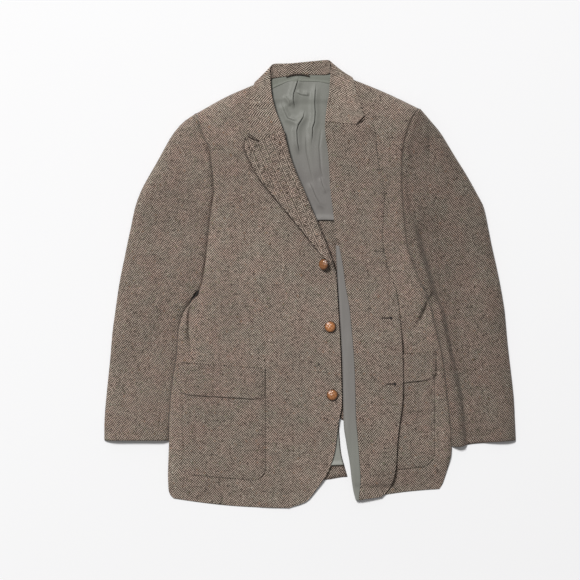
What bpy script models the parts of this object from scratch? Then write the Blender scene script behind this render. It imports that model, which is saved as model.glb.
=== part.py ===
"""Man's three-button tweed hacking jacket, half lined, laid on its back.

All tables are in millimetres: +X to the wearer's left, +Y to the collar, +Z up from the
surface that the jacket lies on. The wearer's right front lies closed with its lapel rolled
back. The wearer's left front is folded back on itself from neck to hem, so that its facing
shows. Every piece of cloth is a wall of even thickness, lofted through sections that run
across the jacket from the outer edge of a sleeve to the armhole and on to the front edge.
"""
import math

import bpy

COLLECTION = "tweed_hacking_jacket"

MM = 0.001
TWEED = 1.6                # wall of one layer of tweed
LINING = 1.0               # wall of one layer of lining
GAP = 0.35                 # space between layers that lie on each other
FACING_GAP = 0.55          # space between a front and its facing, which bend together
BREAK_SPACE = 0.5          # more of it where the lapel stops turning
POCKET_GAP = 0.6           # space under a patch or a flap, whose facets are its own
SEAM_GAP = 0.3             # half the space between panels sewn edge to edge
SIDE_INSET = 1.3           # how far a rounded side stays back from the line it shares
FOLD_RADIUS = 2.6          # inner bend of a turned front, at the middle of the cloth

EDGE_HEIGHT = 2.4          # middle of the upper cloth where it meets the lower one
EDGE_ROUND = 24.0          # how far in from its edge the upper cloth rounds up
SHOULDER_RISE = 11.0       # height that the padded shoulder adds
SHOULDER_SPREAD = 72.0
ROLL_FALL = 85.0           # how far from its fold a front starts to come down
HEM_FALL = 55.0            # how far from its hem a front starts to come down
NECK_BOW = 4.0             # how far the middle of a shoulder seam bows up
HEM_BOW = 4.5              # how far the middle of a front's hem bows down
HEM_HEIGHT = 0.95          # middle of the cloth at the hem, over the surface
EDGE_STACK = 30.0          # how far from a front's edge its hem is still two layers high
FOLD_END = 60.0            # how far from a fold the layers have come together
LAYER_PLAY = 1.0           # space left between them there
SEAM_BLEND = 1.5           # rows over which an armhole seam becomes an open side
NECK_BACK_BOW = 16.0       # how far the back neck bows up
NECK_BACK_ROWS = 4         # and the rows over which it does
FACING_LIFT = TWEED + FACING_GAP
LINING_LIFT = (TWEED + LINING) / 2 + GAP
NECK_RAISE = TWEED + GAP   # the back neck lies on the turned-down collar
NECK_RAISE_SIDES = (-128, 104)    # x between which it does
NECK_RAISE_LOW = 356       # y above which it does
NECK_RAISE_RUN = 16.0      # width of the slope at either side of it
NECK_RAISE_RISE = 12.0     # and of the slope along its lower edge

HEATHER = (0.205, 0.160, 0.135)
HEATHER_DARK = (0.165, 0.130, 0.108)
SAGE = (0.215, 0.222, 0.200)
SAGE_DARK = (0.160, 0.165, 0.140)
LEATHER = (0.300, 0.120, 0.045)
CORD = (0.020, 0.016, 0.014)

# Sections of the wearer's right half, from shoulder to hem. "outer" is the sleeve's outer
# edge, "seam" the armhole and, below it, the line that sleeve and side share, "roll" the
# outermost line of the lapel's roll and, below it, of the front edge, "edge" the free edge
# of the turned lapel, "turn" how far the front is turned back, in degrees.
SECTION_COLUMNS = ("outer_x", "outer_y", "seam_x", "seam_y", "roll_x", "roll_y",
                   "edge_x", "edge_y", "turn")
RIGHT_SECTIONS = (
    (-220, 321, -215, 324, -74, 388, -80, 388, 12),
    (-241, 306, -209, 304, -74, 378, -80, 378, 12),
    (-262, 281, -202, 282, -72, 363, -78, 363, 12),
    (-277, 255, -194, 267, -69, 347, -75, 347, 12),
    (-293, 226, -189, 251, -65, 331, -71, 331, 12),
    (-308, 200, -186, 226, -57, 313, -63, 313, 12),
    (-321, 175, -183, 198, -49, 291, -121, 280, 180),
    (-332, 144, -182, 175, -44, 268, -123, 258, 180),
    (-339, 110, -186, 148, -37, 241, -114, 232, 180),
    (-346, 78, -190, 118, -27, 213, -95, 198, 180),
    (-352, 48, -194, 87, -13, 180, -72, 169, 180),
    (-359, 15, -199, 42, 6, 135, -40, 131, 180),
    (-364, -15, -205, 0, 23, 95, -8, 92, 180),
    (-367, -36, -217, -21, 36, 61, 17, 59, 170),
    (-371, -65, -239, -51, 46, 30, 38, 28, 95),
    (-375, -95, -250, -89, 51, -11, 45, -11, 12),
    (-378, -133, -253, -133, 54, -65, 48, -65, 12),
    (-382, -173, -259, -171, 57, -116, 51, -116, 12),
    (-387, -222, -265, -222, 59, -177, 53, -177, 12),
    (-390, -266, -268, -266, 60, -224, 54, -224, 12),
    (-390, -297, -268, -297, 53, -266, 47, -266, 12),
    (None, None, -269, -331, 47, -314, 41, -314, 12),
    (None, None, -270, -363, 35, -353, 29, -352, 12),
    (None, None, -269, -390, 13, -388, 7, -385, 12),
    (None, None, -266, -400, -10, -411, -15, -407, 12),
    (None, None, -260, -407, -42, -425, -45, -419, 12),
)

# The wearer's left half. Its front is folded back along "roll" from neck to hem.
LEFT_SECTIONS = (
    (211, 330, 206, 333, 40, 400, 46, 400, 12),
    (228, 310, 194, 315, 38, 388, 44, 388, 12),
    (247, 287, 186, 296, 37, 376, 43, 376, 12),
    (262, 263, 180, 276, 36, 359, 42, 359, 12),
    (277, 238, 176, 255, 33, 342, 39, 342, 12),
    (291, 216, 174, 230, 30, 326, 36, 326, 12),
    (304, 194, 174, 203, 28, 306, 108, 314, 180),
    (317, 170, 175, 177, 29, 283, 124, 281, 180),
    (329, 146, 177, 148, 33, 256, 126, 255, 180),
    (336, 114, 180, 118, 36, 220, 133, 213, 180),
    (343, 78, 183, 84, 38, 182, 141, 175, 180),
    (352, 38, 196, 40, 42, 148, 140, 137, 180),
    (360, 0, 209, 2, 46, 112, 137, 95, 180),
    (366, -34, 225, -30, 48, 68, 142, 57, 180),
    (369, -55, 231, -51, 50, 30, 148, 27, 180),
    (372, -89, 240, -89, 53, -15, 163, -15, 180),
    (376, -129, 250, -129, 56, -65, 170, -63, 180),
    (381, -171, 256, -171, 59, -116, 174, -116, 180),
    (386, -217, 261, -217, 61, -169, 176, -169, 180),
    (388, -258, 266, -258, 62, -220, 175, -220, 180),
    (390, -297, 269, -306, 63, -266, 169, -266, 180),
    (None, None, 268, -325, 68, -302, 165, -302, 180),
    (None, None, 262, -346, 75, -344, 162, -350, 180),
    (None, None, 256, -367, 79, -378, 154, -380, 180),
    (None, None, 252, -379, 82, -395, 146, -394, 180),
    (None, None, 246, -389, 86, -410, 135, -404, 180),
)

CUFF_ROW = 20
HEM_ROW = 25
UNDERARM_ROW = 13
GORGE_ROW = 6
STRIP_ROW = 13             # from here down the lining shows beside the left facing
GORGE = {"right": (0.64, 16.0), "left": (0.73, 11.0)}    # place and depth of the notch
BODY_ROWS = (0, 0.2, 0.55, 1, 2, 3, 4, 5, 6, 7, 8, 9, 10, 11, 12, 13, 14, 15, 16, 17, 18,
             19, 20, 21, 22, 23, 24, 25)
SLEEVE_ROWS = (0, 0.3, 1, 2, 3, 4, 5, 6, 7, 8, 9, 10, 11, 12, 13, 14, 15, 16, 17, 18, 19, 20)
UNDER_SLEEVE_ROWS = (1, 2, 4, 6, 8, 10, 12, 13, 14, 16, 18, 20)
BACK_ROWS = (0, 0.4, 1, 2, 3, 4, 6, 8, 10, 12, 13, 14, 16, 18, 19, 20, 21, 22)
BEND_STEPS = 4             # facets round a turned edge
FLAT_START = 0.12          # first point past the bend, as a share of the way to the edge
FRONT_CROWDING = 1.5       # how much closer a front's columns stand towards its seam

HEIGHT_COLUMNS = ("y", "height")
CROWN = (
    (-430, 9.0),
    (-300, 10.5),
    (-150, 11.5),
    (0, 13.0),
    (180, 15.5),
    (300, 16.0),
    (430, 12.0),
)
RIGHT_ROLL = (
    (-425, 2.9),
    (-402, 2.9),
    (-388, 4.0),
    (-365, 5.8),
    (-330, 6.4),
    (-40, 6.4),
    (30, 8.5),
    (100, 10.6),
    (250, 11.0),
    (330, 9.5),
    (365, 7.5),
    (388, 5.0),
)
LEFT_ROLL = (
    (-425, 2.6),
    (-395, 2.6),
    (-370, 4.6),
    (-340, 5.6),
    (60, 6.2),
    (330, 7.5),
    (370, 7.0),
    (400, 5.0),
)
SHOULDER_POINTS = {"right": (-178, 288), "left": (172, 296)}

# Largest folds of the upper cloth: x0, y0, x1, y1 of a line, its width and its height.
FOLDS = {
    "right": (
        (-184, 185, -202, 15, 10, -2.2),
        (-222, -30, -226, -132, 9, -2.2),
        (-300, 60, -268, -190, 22, 2.2),
        (-236, -30, -300, -120, 13, -2.0),
        (-318, 120, -350, -40, 14, -1.6),
        (-150, 120, -170, -60, 24, 1.6),
    ),
    "left": (
        (223, 84, 251, -22, 9, -3.0),
        (251, -22, 270, -140, 8, -4.0),
        (270, -140, 292, -302, 9, -3.6),
        (206, 70, 243, -50, 8, 3.0),
        (245, -50, 262, -150, 8, 3.2),
        (262, -150, 280, -300, 8, 3.2),
        (223, 272, 222, 240, 8, -2.8),
        (186, 190, 194, 110, 9, -2.6),
        (145, 168, 150, 112, 8, -2.2),
        (224, -30, 198, -78, 9, -2.8),
        (330, 60, 318, -180, 24, 2.0),
    ),
}

# The centre back, from the neck down. Below the vent's top the two backs part.
CENTRE_COLUMNS = ("row", "y", "right_x", "left_x")
CENTRE_BACK = (
    (0, 391, -17.3, -16.7),
    (0.55, 384, -16.5, -15.9),
    (1, 377, -15.7, -15.1),
    (2, 361, -13.9, -13.3),
    (3, 346, -12.1, -11.5),
    (4, 330, -10.3, -9.7),
    (6, 290, -5.8, -5.2),
    (8, 240, 0.0, 0.6),
    (10, 180, 6.8, 7.4),
    (12, 95, 16.5, 17.1),
    (14, 30, 23.9, 24.5),
    (16, -65, 34.7, 35.3),
    (18, -177, 47.5, 48.1),
    (19, -255, 56.4, 57.0),
    (20, -261, 54.4, 66.0),
    (21, -314, 58.0, 76.0),
    (22, -366, 71.0, 88.0),
)
BACK_SIDE_END_Y = -358
BACK_SIDE_INSET = 1.0

# The collar from the wearer's right notch, round the neck, to the left one. "roll" is the
# line that the collar turns on, "turn" says where the leaf lies from it (90 above, 0
# outside, -90 beneath), "edge" is the leaf's free edge and "neck" the line it is sewn to.
COLLAR_COLUMNS = ("roll_x", "roll_y", "roll_z", "turn", "edge_x", "edge_y",
                  "neck_x", "neck_y", "neck_z")
COLLAR = (
    (-51.5, 292, 14.6, 90, -118, 285, -53.5, 292, 11.4),
    (-57, 308, 13.9, 90, -116, 303, -59, 308, 10.8),
    (-64, 325, 13.2, 90, -115, 323, -66, 325, 10.2),
    (-69, 342, 12.6, 90, -113, 344, -71, 342, 9.6),
    (-73, 361, 12.0, 90, -111, 362, -75, 361, 9.0),
    (-74.5, 380, 10.8, 75, -109.5, 375, -76, 378, 7.6),
    (-75, 400, 10.0, 30, -109.5, 382.5, -74, 389, 6.6),
    (-71, 415, 6.0, -20, -100, 384, -70, 390.5, 5.4),
    (-60, 418, 4.8, -75, -76, 377, -58, 392, 4.4),
    (-40, 418.5, 4.5, -90, -46, 374, -39, 394.5, 4.2),
    (-17, 420.5, 4.5, -90, -17, 372, -17, 396.5, 4.2),
    (8, 423, 4.5, -90, 14, 374, 8, 396.5, 4.2),
    (26, 424.5, 4.8, -75, 48, 380, 24, 396.5, 4.4),
    (36, 423, 6.0, -20, 68, 394, 33.5, 398, 5.4),
    (39.5, 411, 10.0, 30, 80, 392, 38, 400, 6.6),
    (39, 396, 11.2, 75, 84, 381, 41, 394, 7.8),
    (37.5, 380, 12.0, 90, 87, 365, 39.5, 380, 9.0),
    (36.5, 361, 12.4, 90, 93, 348, 38.5, 361, 9.4),
    (33, 342, 12.8, 90, 97.5, 333, 35, 342, 9.8),
    (30.5, 325, 13.2, 90, 101, 321, 32.5, 325, 10.0),
    (28.5, 306.7, 13.6, 90, 103, 318, 30.5, 306.7, 10.4),
)
COLLAR_BACK = (7, 13)      # first and last section whose leaf lies beneath
COLLAR_SPREAD = (0.8, 0.6)    # which way the roll points beside the neck
LEAF_STEPS = (0.0, 0.04, 0.12, 0.3, 0.65, 0.8, 1.0)
LEAF_BEND = 0.12           # share of the leaf's width that its bend takes
LEAF_LIFT = 3.4            # middle of the leaf's free edge, over the front's middle
LEAF_ROLL = 2.0            # and how much more at its roll
LEAF_SIDE_HEIGHT = 5.4     # its free edge where it goes round the neck
RIM_OFFSET = 1.25          # from the roll line to the middle of leaf or stand
STANDING = math.radians(60)    # cloth turned by less than this isn't laid back

# Where each end of the leaf leaves the roll to follow its lapel, where it reaches the
# notch, both as a share of its width, and how far down it has come there.
LEAF_GORGE = {"right": (0.05, 0.65, 17.2), "left": (0.0, 0.8, 13.0)}

HANGER_ROUTE = (
    (-45, 392.5, 6.4),
    (-40, 395, 6.9),
    (-33, 397, 7.2),
    (-25, 398, 7.3),
    (-16, 397.6, 7.2),
    (-8, 396, 6.9),
    (-1, 393.8, 6.4),
)
HANGER_RADIUS = 0.9

# The pockets: half, x of the sides, y of the top and of the bottom at each side.
PATCHES = (
    ("right", (-247, -84), (-154, -160), (-360, -374)),
    ("left", (92, 236), (-144, -133), (-360, -344)),
)
FLAPS = (
    ("right", (-248, -85), (-148, -159), (-209, -219)),
    ("left", (91, 238), (-138, -127), (-197, -180)),
)
PATCH_CORNER = 26.0
FLAP_CORNER = 13.0
PATCH_STEPS = (9, 9)       # facets across and down
FLAP_STEPS = (9, 5)
POCKET_CROWDING = 1.4      # how much closer facets stand where the front curves most

# Where the turned-back left front lies on its pocket: x of its start, y of its top and of
# its bottom, each with the width of its slope.
POCKET_START = (62, 12)
POCKET_TOP = (-78, 34)
POCKET_BOTTOM = (-386, 10)
POCKET_SPACE = 3 * TWEED + 2.4    # space that the pocket takes there

# The buttons: x, y, how far each is tilted, in degrees, and its height over the cloth.
BUTTONS = ((27, 37, 28, 4.5), (38, -81, 0, 0.6), (42, -210, 0, 0.6))
BUTTON_PROFILE = ((0.0, 7.0), (5.0, 6.5), (8.4, 5.0), (10.8, 2.6), (9.6, 1.0), (5.0, 0.0),
                  (0.0, 0.0))    # radius and height, from the top down
BUTTON_SIDES = 20


# ---------------------------------------------------------------- lines and tables

def smooth_line(knots):
    """Gives a function that reads a smooth line through (position, value) knots."""
    places = [knot[0] for knot in knots]
    values = [knot[1] for knot in knots]
    last = len(knots) - 1
    steps = [(values[i + 1] - values[i]) / (places[i + 1] - places[i]) for i in range(last)]
    slopes = [steps[0]]
    for before, after in zip(steps, steps[1:]):
        slopes.append(0.0 if before * after <= 0 else 2 * before * after / (before + after))
    slopes.append(steps[-1])

    def read(place):
        place = min(max(place, places[0]), places[-1])
        index = 0
        while index < last - 1 and place > places[index + 1]:
            index += 1
        width = places[index + 1] - places[index]
        t = (place - places[index]) / width
        rest = 1 - t
        return (values[index] * (1 + 2 * t) * rest * rest
                + values[index + 1] * t * t * (3 - 2 * t)
                + slopes[index] * width * t * rest * rest
                - slopes[index + 1] * width * t * t * rest)

    return read


def column(table, columns, name, key=None):
    """Reads one named column of a table, against its key column or its row number."""
    place = columns.index(name)
    knots = []
    for number, row in enumerate(table):
        if row[place] is not None:
            knots.append((number if key is None else row[columns.index(key)], row[place]))
    return smooth_line(knots)


def smoothstep(t):
    t = min(max(t, 0.0), 1.0)
    return t * t * (3 - 2 * t)


def mix(a, b, t):
    return a + (b - a) * t


def distance_to_line(x, y, line):
    """Shortest way from a point to a line of straight stretches."""
    best = math.inf
    for (x0, y0), (x1, y1) in zip(line, line[1:]):
        run_x = x1 - x0
        run_y = y1 - y0
        length = run_x * run_x + run_y * run_y
        t = ((x - x0) * run_x + (y - y0) * run_y) / length if length else 0.0
        t = min(max(t, 0.0), 1.0)
        best = min(best, math.hypot(x - x0 - t * run_x, y - y0 - t * run_y))
    return best


def quarter_round(distance, radius):
    """Rises from 0 to 1 like the rounded side of a cushion."""
    return math.sqrt(1 - (1 - min(distance / radius, 1.0)) ** 2)


# ---------------------------------------------------------------- form of the upper cloth

def neck_raise(x, y, early=0.0):
    """Height by which the collar's leaf, which lies under it, lifts the back neck. What
    lies on the back starts to rise a little early."""
    left, right = NECK_RAISE_SIDES
    across = smoothstep((x - left + early) / NECK_RAISE_RUN)
    across *= smoothstep((right + early - x) / NECK_RAISE_RUN)
    return NECK_RAISE * smoothstep((y - NECK_RAISE_LOW + early) / NECK_RAISE_RISE) * across


class Half:
    """One half of the jacket: its sections and the height of its upper cloth."""

    def __init__(self, name, table, roll_heights, sign):
        self.name = name
        self.sign = sign
        self.read = {title: column(table, SECTION_COLUMNS, title) for title in SECTION_COLUMNS}
        self.roll_height = column(roll_heights, HEIGHT_COLUMNS, "height", "y")
        self.crown = column(CROWN, HEIGHT_COLUMNS, "height", "y")
        self.shoulder = SHOULDER_POINTS[name]
        self.folds = FOLDS[name]
        rows = [number / 2 for number in range(2 * len(table) - 1)]
        shoulder_line = [self.across(0, t / 8) for t in range(9)]
        outer_line = [self.point("outer", row) for row in rows if row <= CUFF_ROW]
        side_line = [self.point("seam", row) for row in rows if row >= UNDERARM_ROW]
        self.edges = (shoulder_line, outer_line, side_line)
        self.roll_line = [self.fold_point(row) for row in rows]
        self.hem_line = [self.across(HEM_ROW, t / 4) for t in range(5)]

    def point(self, name, row):
        return self.read[name + "_x"](row), self.read[name + "_y"](row)

    def fold_point(self, row):
        """Where the front starts to turn, so that its facing's roll ends on the roll line."""
        x, y = self.point("roll", row)
        back = FOLD_RADIUS + FACING_LIFT + TWEED / 2
        return x - self.sign * back, y

    def across(self, row, t):
        """A point of the front on the section "row", t of the way from seam to fold."""
        seam_x, seam_y = self.point("seam", row)
        fold_x, fold_y = self.fold_point(row)
        bow = NECK_BOW * max(0.0, 1 - row) - HEM_BOW * max(0.0, row + 1 - HEM_ROW)
        return mix(seam_x, fold_x, t), mix(seam_y, fold_y, t) + bow * math.sin(math.pi * t)

    def fold_heights(self, x, y):
        total = 0.0
        for x0, y0, x1, y1, width, height in self.folds:
            run_x = x1 - x0
            run_y = y1 - y0
            length = math.hypot(run_x, run_y)
            along = ((x - x0) * run_x + (y - y0) * run_y) / (length * length)
            aside = abs((x - x0) * run_y - (y - y0) * run_x) / length
            if -0.25 < along < 1.25 and aside < 3 * width:
                taper = smoothstep((along + 0.25) / 0.5) * smoothstep((1.25 - along) / 0.5)
                total += height * taper * math.exp(-(aside / width) ** 2)
        return total

    def height(self, x, y):
        """Height of the middle of the upper cloth over the point (x, y)."""
        edge = min(distance_to_line(x, y, line) for line in self.edges)
        rise = quarter_round(edge, EDGE_ROUND)
        low = EDGE_HEIGHT + neck_raise(x, y)
        bump = math.hypot(x - self.shoulder[0], y - self.shoulder[1]) / SHOULDER_SPREAD
        crown = self.crown(y) + SHOULDER_RISE * math.exp(-bump * bump)
        z = low + (crown - low + self.fold_heights(x, y)) * rise
        to_roll = distance_to_line(x, y, self.roll_line)
        z = mix(self.roll_height(y), z, smoothstep(to_roll / ROLL_FALL))
        to_hem = distance_to_line(x, y, self.hem_line)
        layered = 1 - smoothstep((to_roll - EDGE_STACK) / EDGE_STACK)
        hem_z = HEM_HEIGHT + FACING_LIFT * layered
        return mix(hem_z, z, smoothstep(to_hem / HEM_FALL))

    def lifted(self, x, y, lift):
        """The point of the upper cloth over (x, y), moved out along its normal."""
        step = 1.0
        slope_x = (self.height(x + step, y) - self.height(x - step, y)) / (2 * step)
        slope_y = (self.height(x, y + step) - self.height(x, y - step)) / (2 * step)
        size = math.sqrt(1 + slope_x * slope_x + slope_y * slope_y)
        return (x - slope_x * lift / size, y - slope_y * lift / size,
                self.height(x, y) + lift / size)


RIGHT = Half("right", RIGHT_SECTIONS, RIGHT_ROLL, 1)
LEFT = Half("left", LEFT_SECTIONS, LEFT_ROLL, -1)


# ---------------------------------------------------------------- cloth as solid walls

def material(name, colour, roughness):
    made = bpy.data.materials.get(name)
    if made is None:
        made = bpy.data.materials.new(name)
        made.use_nodes = True
        shader = made.node_tree.nodes["Principled BSDF"]
        shader.inputs["Base Color"].default_value = (*colour, 1.0)
        shader.inputs["Roughness"].default_value = roughness
        shader.inputs["Metallic"].default_value = 0.0
    return made


def add_object(name, mesh, finish):
    made = bpy.data.objects.new(name, mesh)
    made.data.materials.append(finish)
    bpy.data.collections[COLLECTION].objects.link(made)
    return made


def cloth(name, rows, thickness, colour):
    """A wall of cloth on rows of points in its middle. A short row ends before its
    neighbour does, and what the longer one has beyond it is a free edge."""
    vertices = []
    starts = []
    for row in rows:
        starts.append(len(vertices))
        vertices.extend((x * MM, y * MM, z * MM) for x, y, z in row)
    faces = []
    for number in range(len(rows) - 1):
        upper = starts[number]
        lower = starts[number + 1]
        for step in range(min(len(rows[number]), len(rows[number + 1])) - 1):
            faces.append((upper + step, lower + step, lower + step + 1, upper + step + 1))
    mesh = bpy.data.meshes.new(name)
    mesh.from_pydata(vertices, [], faces)
    mesh.shade_smooth()
    made = add_object(name, mesh, material(name, colour, 0.9))
    wall = made.modifiers.new("wall", "SOLIDIFY")
    wall.thickness = thickness * MM
    wall.offset = 0.0
    wall.use_rim = True
    return made


def turned_path(half, row, lift, tail, turned):
    """A section of a front, or of what lines it, near its fold: "tail" points before the
    fold, the bend, and "turned" points out to the free edge. Lift moves it inwards."""
    fold_x, fold_y = half.fold_point(row)
    edge_x, edge_y = half.point("edge", row)
    reach_x = edge_x - fold_x
    reach_y = edge_y - fold_y
    reach = math.hypot(reach_x, reach_y)
    turn = math.radians(half.read["turn"](row))
    if turn < STANDING:
        reach = FOLD_RADIUS + FACING_LIFT + TWEED / 2
        reach_x = -half.sign * reach
        reach_y = 0.0
    out_x = -reach_x / reach
    out_y = -reach_y / reach
    points = []
    for distance in tail:
        x = fold_x - out_x * distance
        y = fold_y - out_y * distance
        points.append((x, y, half.height(x, y) - lift))
    base = half.height(fold_x, fold_y)
    radius = FOLD_RADIUS + lift
    for step in range(BEND_STEPS + 1):
        angle = turn * step / BEND_STEPS
        along = radius * math.sin(angle)
        points.append((fold_x + out_x * along, fold_y + out_y * along,
                       base + FOLD_RADIUS - radius * math.cos(angle)))
    end = points[-1]
    for step in range(turned):
        t = mix(FLAT_START, 1.0, step / (turned - 1))
        along = reach * t
        x = end[0] + out_x * math.cos(turn) * along
        y = end[1] + out_y * math.cos(turn) * along
        if row == GORGE_ROW:
            y -= gorge_dip(half, t)
        straight = end[2] + math.sin(turn) * along
        laid = half.height(x, y) + lift + layer_space(half, x, y, along)
        points.append((x, y, mix(straight, laid, smoothstep(-math.cos(turn)))))
    return points


def gorge_dip(half, t):
    """How far the top edge of a lapel dips below a straight line."""
    place, depth = GORGE[half.name]
    return depth * (t / place if t < place else (1 - t) / (1 - place))


def layer_space(half, x, y, along):
    """Space between the middles of a turned front and of the front that it lies on."""
    space = mix(2 * FOLD_RADIUS, TWEED + LAYER_PLAY, smoothstep(along / FOLD_END))
    if half is LEFT:
        pocket = smoothstep((x - POCKET_START[0]) / POCKET_START[1])
        pocket *= smoothstep((POCKET_TOP[0] - y) / POCKET_TOP[1])
        pocket *= smoothstep((y - POCKET_BOTTOM[0]) / POCKET_BOTTOM[1])
        space = mix(space, POCKET_SPACE, pocket)
    return space


def side_inset(row):
    """How far a front or a top sleeve stays back from the line that the two share."""
    return mix(SEAM_GAP, SIDE_INSET, smoothstep((row - UNDERARM_ROW) / SEAM_BLEND + 1))


def front(half, name, columns, turned):
    rows = []
    for row in BODY_ROWS:
        seam_x, _ = half.point("seam", row)
        fold_x, _ = half.fold_point(row)
        start = side_inset(row) / abs(fold_x - seam_x)
        points = []
        for number in range(columns):
            t = mix(start, 1.0, (number / columns) ** FRONT_CROWDING)
            x, y = half.across(row, t)
            points.append((x, y, half.height(x, y)))
        if row >= GORGE_ROW:
            points.extend(turned_path(half, row, 0.0, (), turned))
        else:
            x, y = half.across(row, 1.0)
            points.append((x, y, half.height(x, y)))
        rows.append(points)
    return cloth(name, rows, TWEED, HEATHER)


def sleeve(half, name):
    """Top and under sleeve, which meet along the folded edges."""
    columns = 12
    top = []
    for row in SLEEVE_ROWS:
        outer_x, outer_y = half.point("outer", row)
        seam_x, seam_y = half.point("seam", row)
        end = 1 - side_inset(row) / abs(seam_x - outer_x)
        points = []
        for number in range(columns + 1):
            t = end * (1 - math.cos(math.pi * number / columns)) / 2
            x = mix(outer_x, seam_x, t)
            y = mix(outer_y, seam_y, t)
            points.append((x, y, half.height(x, y)))
        top.append(points)
    cloth(name + "_top", top, TWEED, HEATHER)
    under = []
    for row in UNDER_SLEEVE_ROWS:
        outer_x, outer_y = half.point("outer", row)
        seam_x, seam_y = half.point("seam", row)
        width = abs(seam_x - outer_x)
        points = []
        for number in range(4):
            t = mix(BACK_SIDE_INSET / width, 1 - BACK_SIDE_INSET / width, number / 3)
            points.append((mix(outer_x, seam_x, t), mix(outer_y, seam_y, t), TWEED / 2))
        under.append(points)
    cloth(name + "_under", under, TWEED, HEATHER_DARK)


def back(half, name, centre_column):
    centre_x = column(CENTRE_BACK, CENTRE_COLUMNS, centre_column, "row")
    centre_y = column(CENTRE_BACK, CENTRE_COLUMNS, "y", "row")
    hem_row = CENTRE_BACK[-1][0]
    rows = []
    for row in BACK_ROWS:
        seam_x, seam_y = half.point("seam", row)
        if row == hem_row:
            seam_y = BACK_SIDE_END_Y
        inner_x = centre_x(row)
        inner_y = centre_y(row)
        bow = NECK_BACK_BOW * max(0.0, 1 - row / NECK_BACK_ROWS)
        start = BACK_SIDE_INSET / abs(inner_x - seam_x)
        points = []
        for number in range(6):
            t = mix(start, 1.0, number / 5)
            x = mix(seam_x, inner_x, t)
            y = mix(seam_y, inner_y, t) + bow * math.sin(math.pi * t)
            points.append((x, y, TWEED / 2 + neck_raise(x, y)))
        rows.append(points)
    return cloth(name, rows, TWEED, HEATHER_DARK)


# ---------------------------------------------------------------- facings and linings

def facing_right():
    """It shows on the lapel, and lies under the front's edge below the break."""
    rows = []
    for row in BODY_ROWS:
        if row >= GORGE_ROW:
            lift = FACING_LIFT + BREAK_SPACE * smoothstep(2 - abs(row - UNDERARM_ROW) / 2)
            rows.append(turned_path(RIGHT, row, lift, (25, 12, 4), 6))
    return cloth("facing_right", rows, TWEED, HEATHER)


# Inner edge of the left facing, where the strip of lining starts.
FACING_INNER_COLUMNS = ("y", "x")
FACING_INNER = (
    (-405, 93), (-374, 96), (-335, 94), (-296, 91), (-246, 87), (-197, 86), (-146, 84),
    (-95, 80), (-44, 75), (-6, 68), (32, 63), (68, 56), (84, 52),
)
FACING_LEAST = 3.0         # least distance from the fold to that edge
FACING_TAIL = (14, 5)      # points before the fold, on the inside
facing_inner = column(FACING_INNER, FACING_INNER_COLUMNS, "x", "y")


def turned_left(row, lift, x):
    """A point of what lines the turned-back left front, straight above x on a section."""
    fold_x, fold_y = LEFT.fold_point(row)
    edge_x, edge_y = LEFT.point("edge", row)
    t = (x - fold_x) / (edge_x - fold_x)
    y = mix(fold_y, edge_y, t)
    if row == GORGE_ROW:
        y -= gorge_dip(LEFT, t)
    return x, y, LEFT.height(x, y) + lift + layer_space(LEFT, x, y, x - fold_x)


def facing_left():
    """From the free edge to the lining, and above the break round the fold."""
    steps = 8
    rows = []
    for row in BODY_ROWS:
        if row < GORGE_ROW:
            continue
        path = turned_path(LEFT, row, FACING_LIFT, FACING_TAIL, 2)
        fold_x, fold_y = LEFT.fold_point(row)
        edge_x, _ = LEFT.point("edge", row)
        inner_x = fold_x + FACING_LEAST
        if row >= STRIP_ROW:
            inner_x = max(facing_inner(fold_y), inner_x)
        points = []
        for number in range(steps + 1):
            points.append(turned_left(row, FACING_LIFT, mix(edge_x, inner_x, number / steps)))
        if row < STRIP_ROW:
            points.extend(reversed(path[:-2]))
        rows.append(points)
    return cloth("facing_left", rows, TWEED, HEATHER)


def lining_left():
    """The strip of lining beside the left facing, round the fold to the inside."""
    rows = []
    for row in BODY_ROWS:
        if row <= STRIP_ROW:
            continue
        path = turned_path(LEFT, row, LINING_LIFT, FACING_TAIL, 2)
        fold_x, fold_y = LEFT.fold_point(row)
        inner_x = max(facing_inner(fold_y), fold_x + FACING_LEAST) - 2 * SEAM_GAP
        points = list(path[:-2])
        for number in (1, 2, 3):
            x = mix(fold_x, inner_x, number / 3)
            points.append(turned_left(row, LINING_LIFT, x))
        rows.append(points)
    return cloth("lining_front_left", rows, LINING, SAGE)


LINING_FLOOR = TWEED + GAP + LINING / 2
LINING_EARLY = 16.0
LINING_TOP_COLUMNS = ("x", "y")
LINING_TOP = ((-100, 366), (-72, 372), (-56, 379), (-36, 386), (11, 385), (36, 381), (74, 368))
LINING_ARMHOLES = (-104, 76)    # x beyond which its top falls away
LINING_FALL = 0.9          # and how steeply it does
LINING_HEM = 119           # y of its hem at the middle
LINING_HEM_SLOPE = 0.05
LINING_COLUMNS = (-165, -130, -100, -80, -66, -52, -40, -30, -20, -10, 0, 10, 20, 30, 44, 60,
                  90, 125, 160)
LINING_ROWS = 14

# Pleats of the lining: x0, y0, x1, y1 of a line, its width and its height.
LINING_PLEATS = (
    (-23, 388, -34, 346, 4.5, 2.2),
    (12, 380, 4, 272, 4.5, 2.2),
    (-10, 326, -24, 258, 4.5, 1.8),
    (-2, 196, 30, 144, 5.0, 1.8),
)


def lining_height(x, y):
    total = 0.0
    for x0, y0, x1, y1, width, height in LINING_PLEATS:
        run_x = x1 - x0
        run_y = y1 - y0
        length = math.hypot(run_x, run_y)
        along = ((x - x0) * run_x + (y - y0) * run_y) / (length * length)
        aside = abs((x - x0) * run_y - (y - y0) * run_x) / length
        if -0.2 < along < 1.2:
            taper = smoothstep((along + 0.2) / 0.4) * smoothstep((1.2 - along) / 0.4)
            total += height * taper * math.exp(-(aside / width) ** 2)
    return LINING_FLOOR + neck_raise(x, y, LINING_EARLY) + total


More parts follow.
